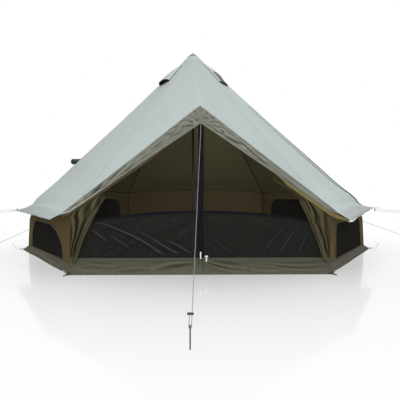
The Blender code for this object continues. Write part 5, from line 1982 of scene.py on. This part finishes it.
def build_pegs(name, sign):
    wire("wire_peg_side_" + name, sign, SIDE_PEG, 0.0030, BRIGHT, ["peg_side_" + name])
    wire("wire_peg_front_" + name, sign, FRONT_PEG, 0.0028, BRIGHT, ["peg_front_" + name])
    wire("peg_rod_" + name, sign, PEG_ROD, 0.0055, BLACK)
    for kind, (x, y, z), (way_x, way_y) in PEG_LOOPS:
        hub = Vector((sign * x, y, z))
        way = Vector((sign * way_x, way_y, 0.0))
        across = Vector((way.y, -way.x, 0.0))
        grid = []
        for step in range(25):
            angle = -pi * 0.9 + 1.8 * pi * step / 24.0
            spot = hub + way * 0.022 * cos(angle) + UP * 0.0075 * sin(angle)
            spot.z = max(spot.z, 0.0022)
            grid.append([spot + across * shift for shift in (-0.009, -0.003, 0.003, 0.009)])
        loop = cloth_sheet("peg_loop_%s_%s" % (kind, name), grid, [WEBBING], "zip_tape", thickness=BINDING, outward=UP)


for hand, hand_sign in HANDS:
    build_pegs(hand, hand_sign)


# Finishes of the rigid parts that stay as they are
def dress(prefixes, material):
    for name, item in frame["nodes"].items():
        if not name.startswith(prefixes):
            continue
        target = item if isinstance(item, bpy.types.Object) else bpy.data.objects[item]
        if target.data.materials:
            for slot in target.material_slots:
                slot.material = material
        else:
            target.data.materials.append(material)


dress(("pole_lower", "pole_upper"), POLE)
dress(("pole_head", "runner_", "vent_prop_"), BLACK)
dress(("slider_", "pull_"), PULL)
dress("stake_", STEEL)


# Studio
AMBIENT = 0.46
STUDIO_SIZE = 40.0
# Each lamp: place, size and power
LAMPS = {
    "key": ((-3.5, -6.5, 6.0), 4.0, 170.0),
    "fill": ((5.5, -5.0, 4.0), 4.0, 90.0),
    "top": ((0.5, 2.0, 7.5), 5.0, 120.0),
    "front": ((-0.6, -9.0, 1.5), 3.5, 170.0),
}
LIT_PLACE = Vector((0.0, 0.0, 0.9))


def seen_directly(tree):
    """1 where the camera sees a surface itself or in or through another, and 0 for the light it gives."""
    paths = node(tree, "LightPath")
    mirrored = maths(tree, "MAXIMUM", paths["Is Glossy Ray"], paths["Is Transmission Ray"])
    return maths(tree, "MAXIMUM", paths["Is Camera Ray"], mirrored)


def build_backdrop():
    """White floor that fades into white, and a white world."""
    corners = ((-1.0, -1.0), (1.0, -1.0), (1.0, 1.0), (-1.0, 1.0))
    points = [(x * STUDIO_SIZE, y * STUDIO_SIZE, 0.0) for x, y in corners]
    surface = {"Roughness": 0.09, "Base Color": (0.90, 0.90, 0.90, 1.0), "Specular IOR Level": 0.35}
    material, tree, _ = new_material("studio_white", surface)
    floor = mesh_piece("studio_floor", points, [(0, 1, 2, 3)], [material])
    spread = vector_maths(tree, "MULTIPLY", {0: node(tree, "TexCoord")["Object"], 1: (1.6, 1.0, 1.0)})
    reach = node(tree, "VectorMath", {0: spread}, operation="LENGTH")["Value"]
    span = {"Value": reach, "From Min": -0.5, "From Max": 7.2}
    fade = node(tree, "MapRange", span, clamp=True, interpolation_type="SMOOTHSTEP")[0]
    glow = node(tree, "Emission", {"Color": (1.0, 1.0, 1.0, 1.0), "Strength": 1.0})[0]
    share = maths(tree, "MULTIPLY", fade, seen_directly(tree))
    shaded = tree.nodes["Principled BSDF"].outputs[0]
    mixed = node(tree, "MixShader", {0: share, 1: shaded, 2: glow})[0]
    set_inputs(tree, tree.nodes["Material Output"].inputs, {"Surface": mixed})
    world = bpy.data.worlds.new("studio")
    bpy.context.scene.world = world
    world.use_nodes = True
    tree = world.node_tree
    strength = maths(tree, "MULTIPLY_ADD", seen_directly(tree), 1.0 - AMBIENT, AMBIENT)
    light = {"Color": (1.0, 1.0, 1.0, 1.0), "Strength": strength}
    set_inputs(tree, tree.nodes["Background"].inputs, light)


def add_lamp(name, spot, way, energy, **shape):
    data = bpy.data.lights.new(name, "AREA")
    for key, value in shape.items():
        setattr(data, key, value)
    data.energy = energy
    lamp = bpy.data.objects.new(name, data)
    lamp.location = spot
    lamp.rotation_euler = way.to_track_quat("-Z", "Y").to_euler()
    lamp.visible_camera = False
    bpy.context.collection.objects.link(lamp)


build_backdrop()
for lamp_name, (lamp_spot, lamp_size, lamp_energy) in LAMPS.items():
    add_lamp(lamp_name, lamp_spot, LIT_PLACE - Vector(lamp_spot), lamp_energy, shape="DISK", size=lamp_size)
inward = Vector((0.0, 1.0, 0.05))
add_lamp("door_light", (0.35, -1.80, 0.75), inward, 15.0, shape="RECTANGLE", size=0.9, size_y=0.5)
bpy.context.scene.view_settings.view_transform = "Standard"
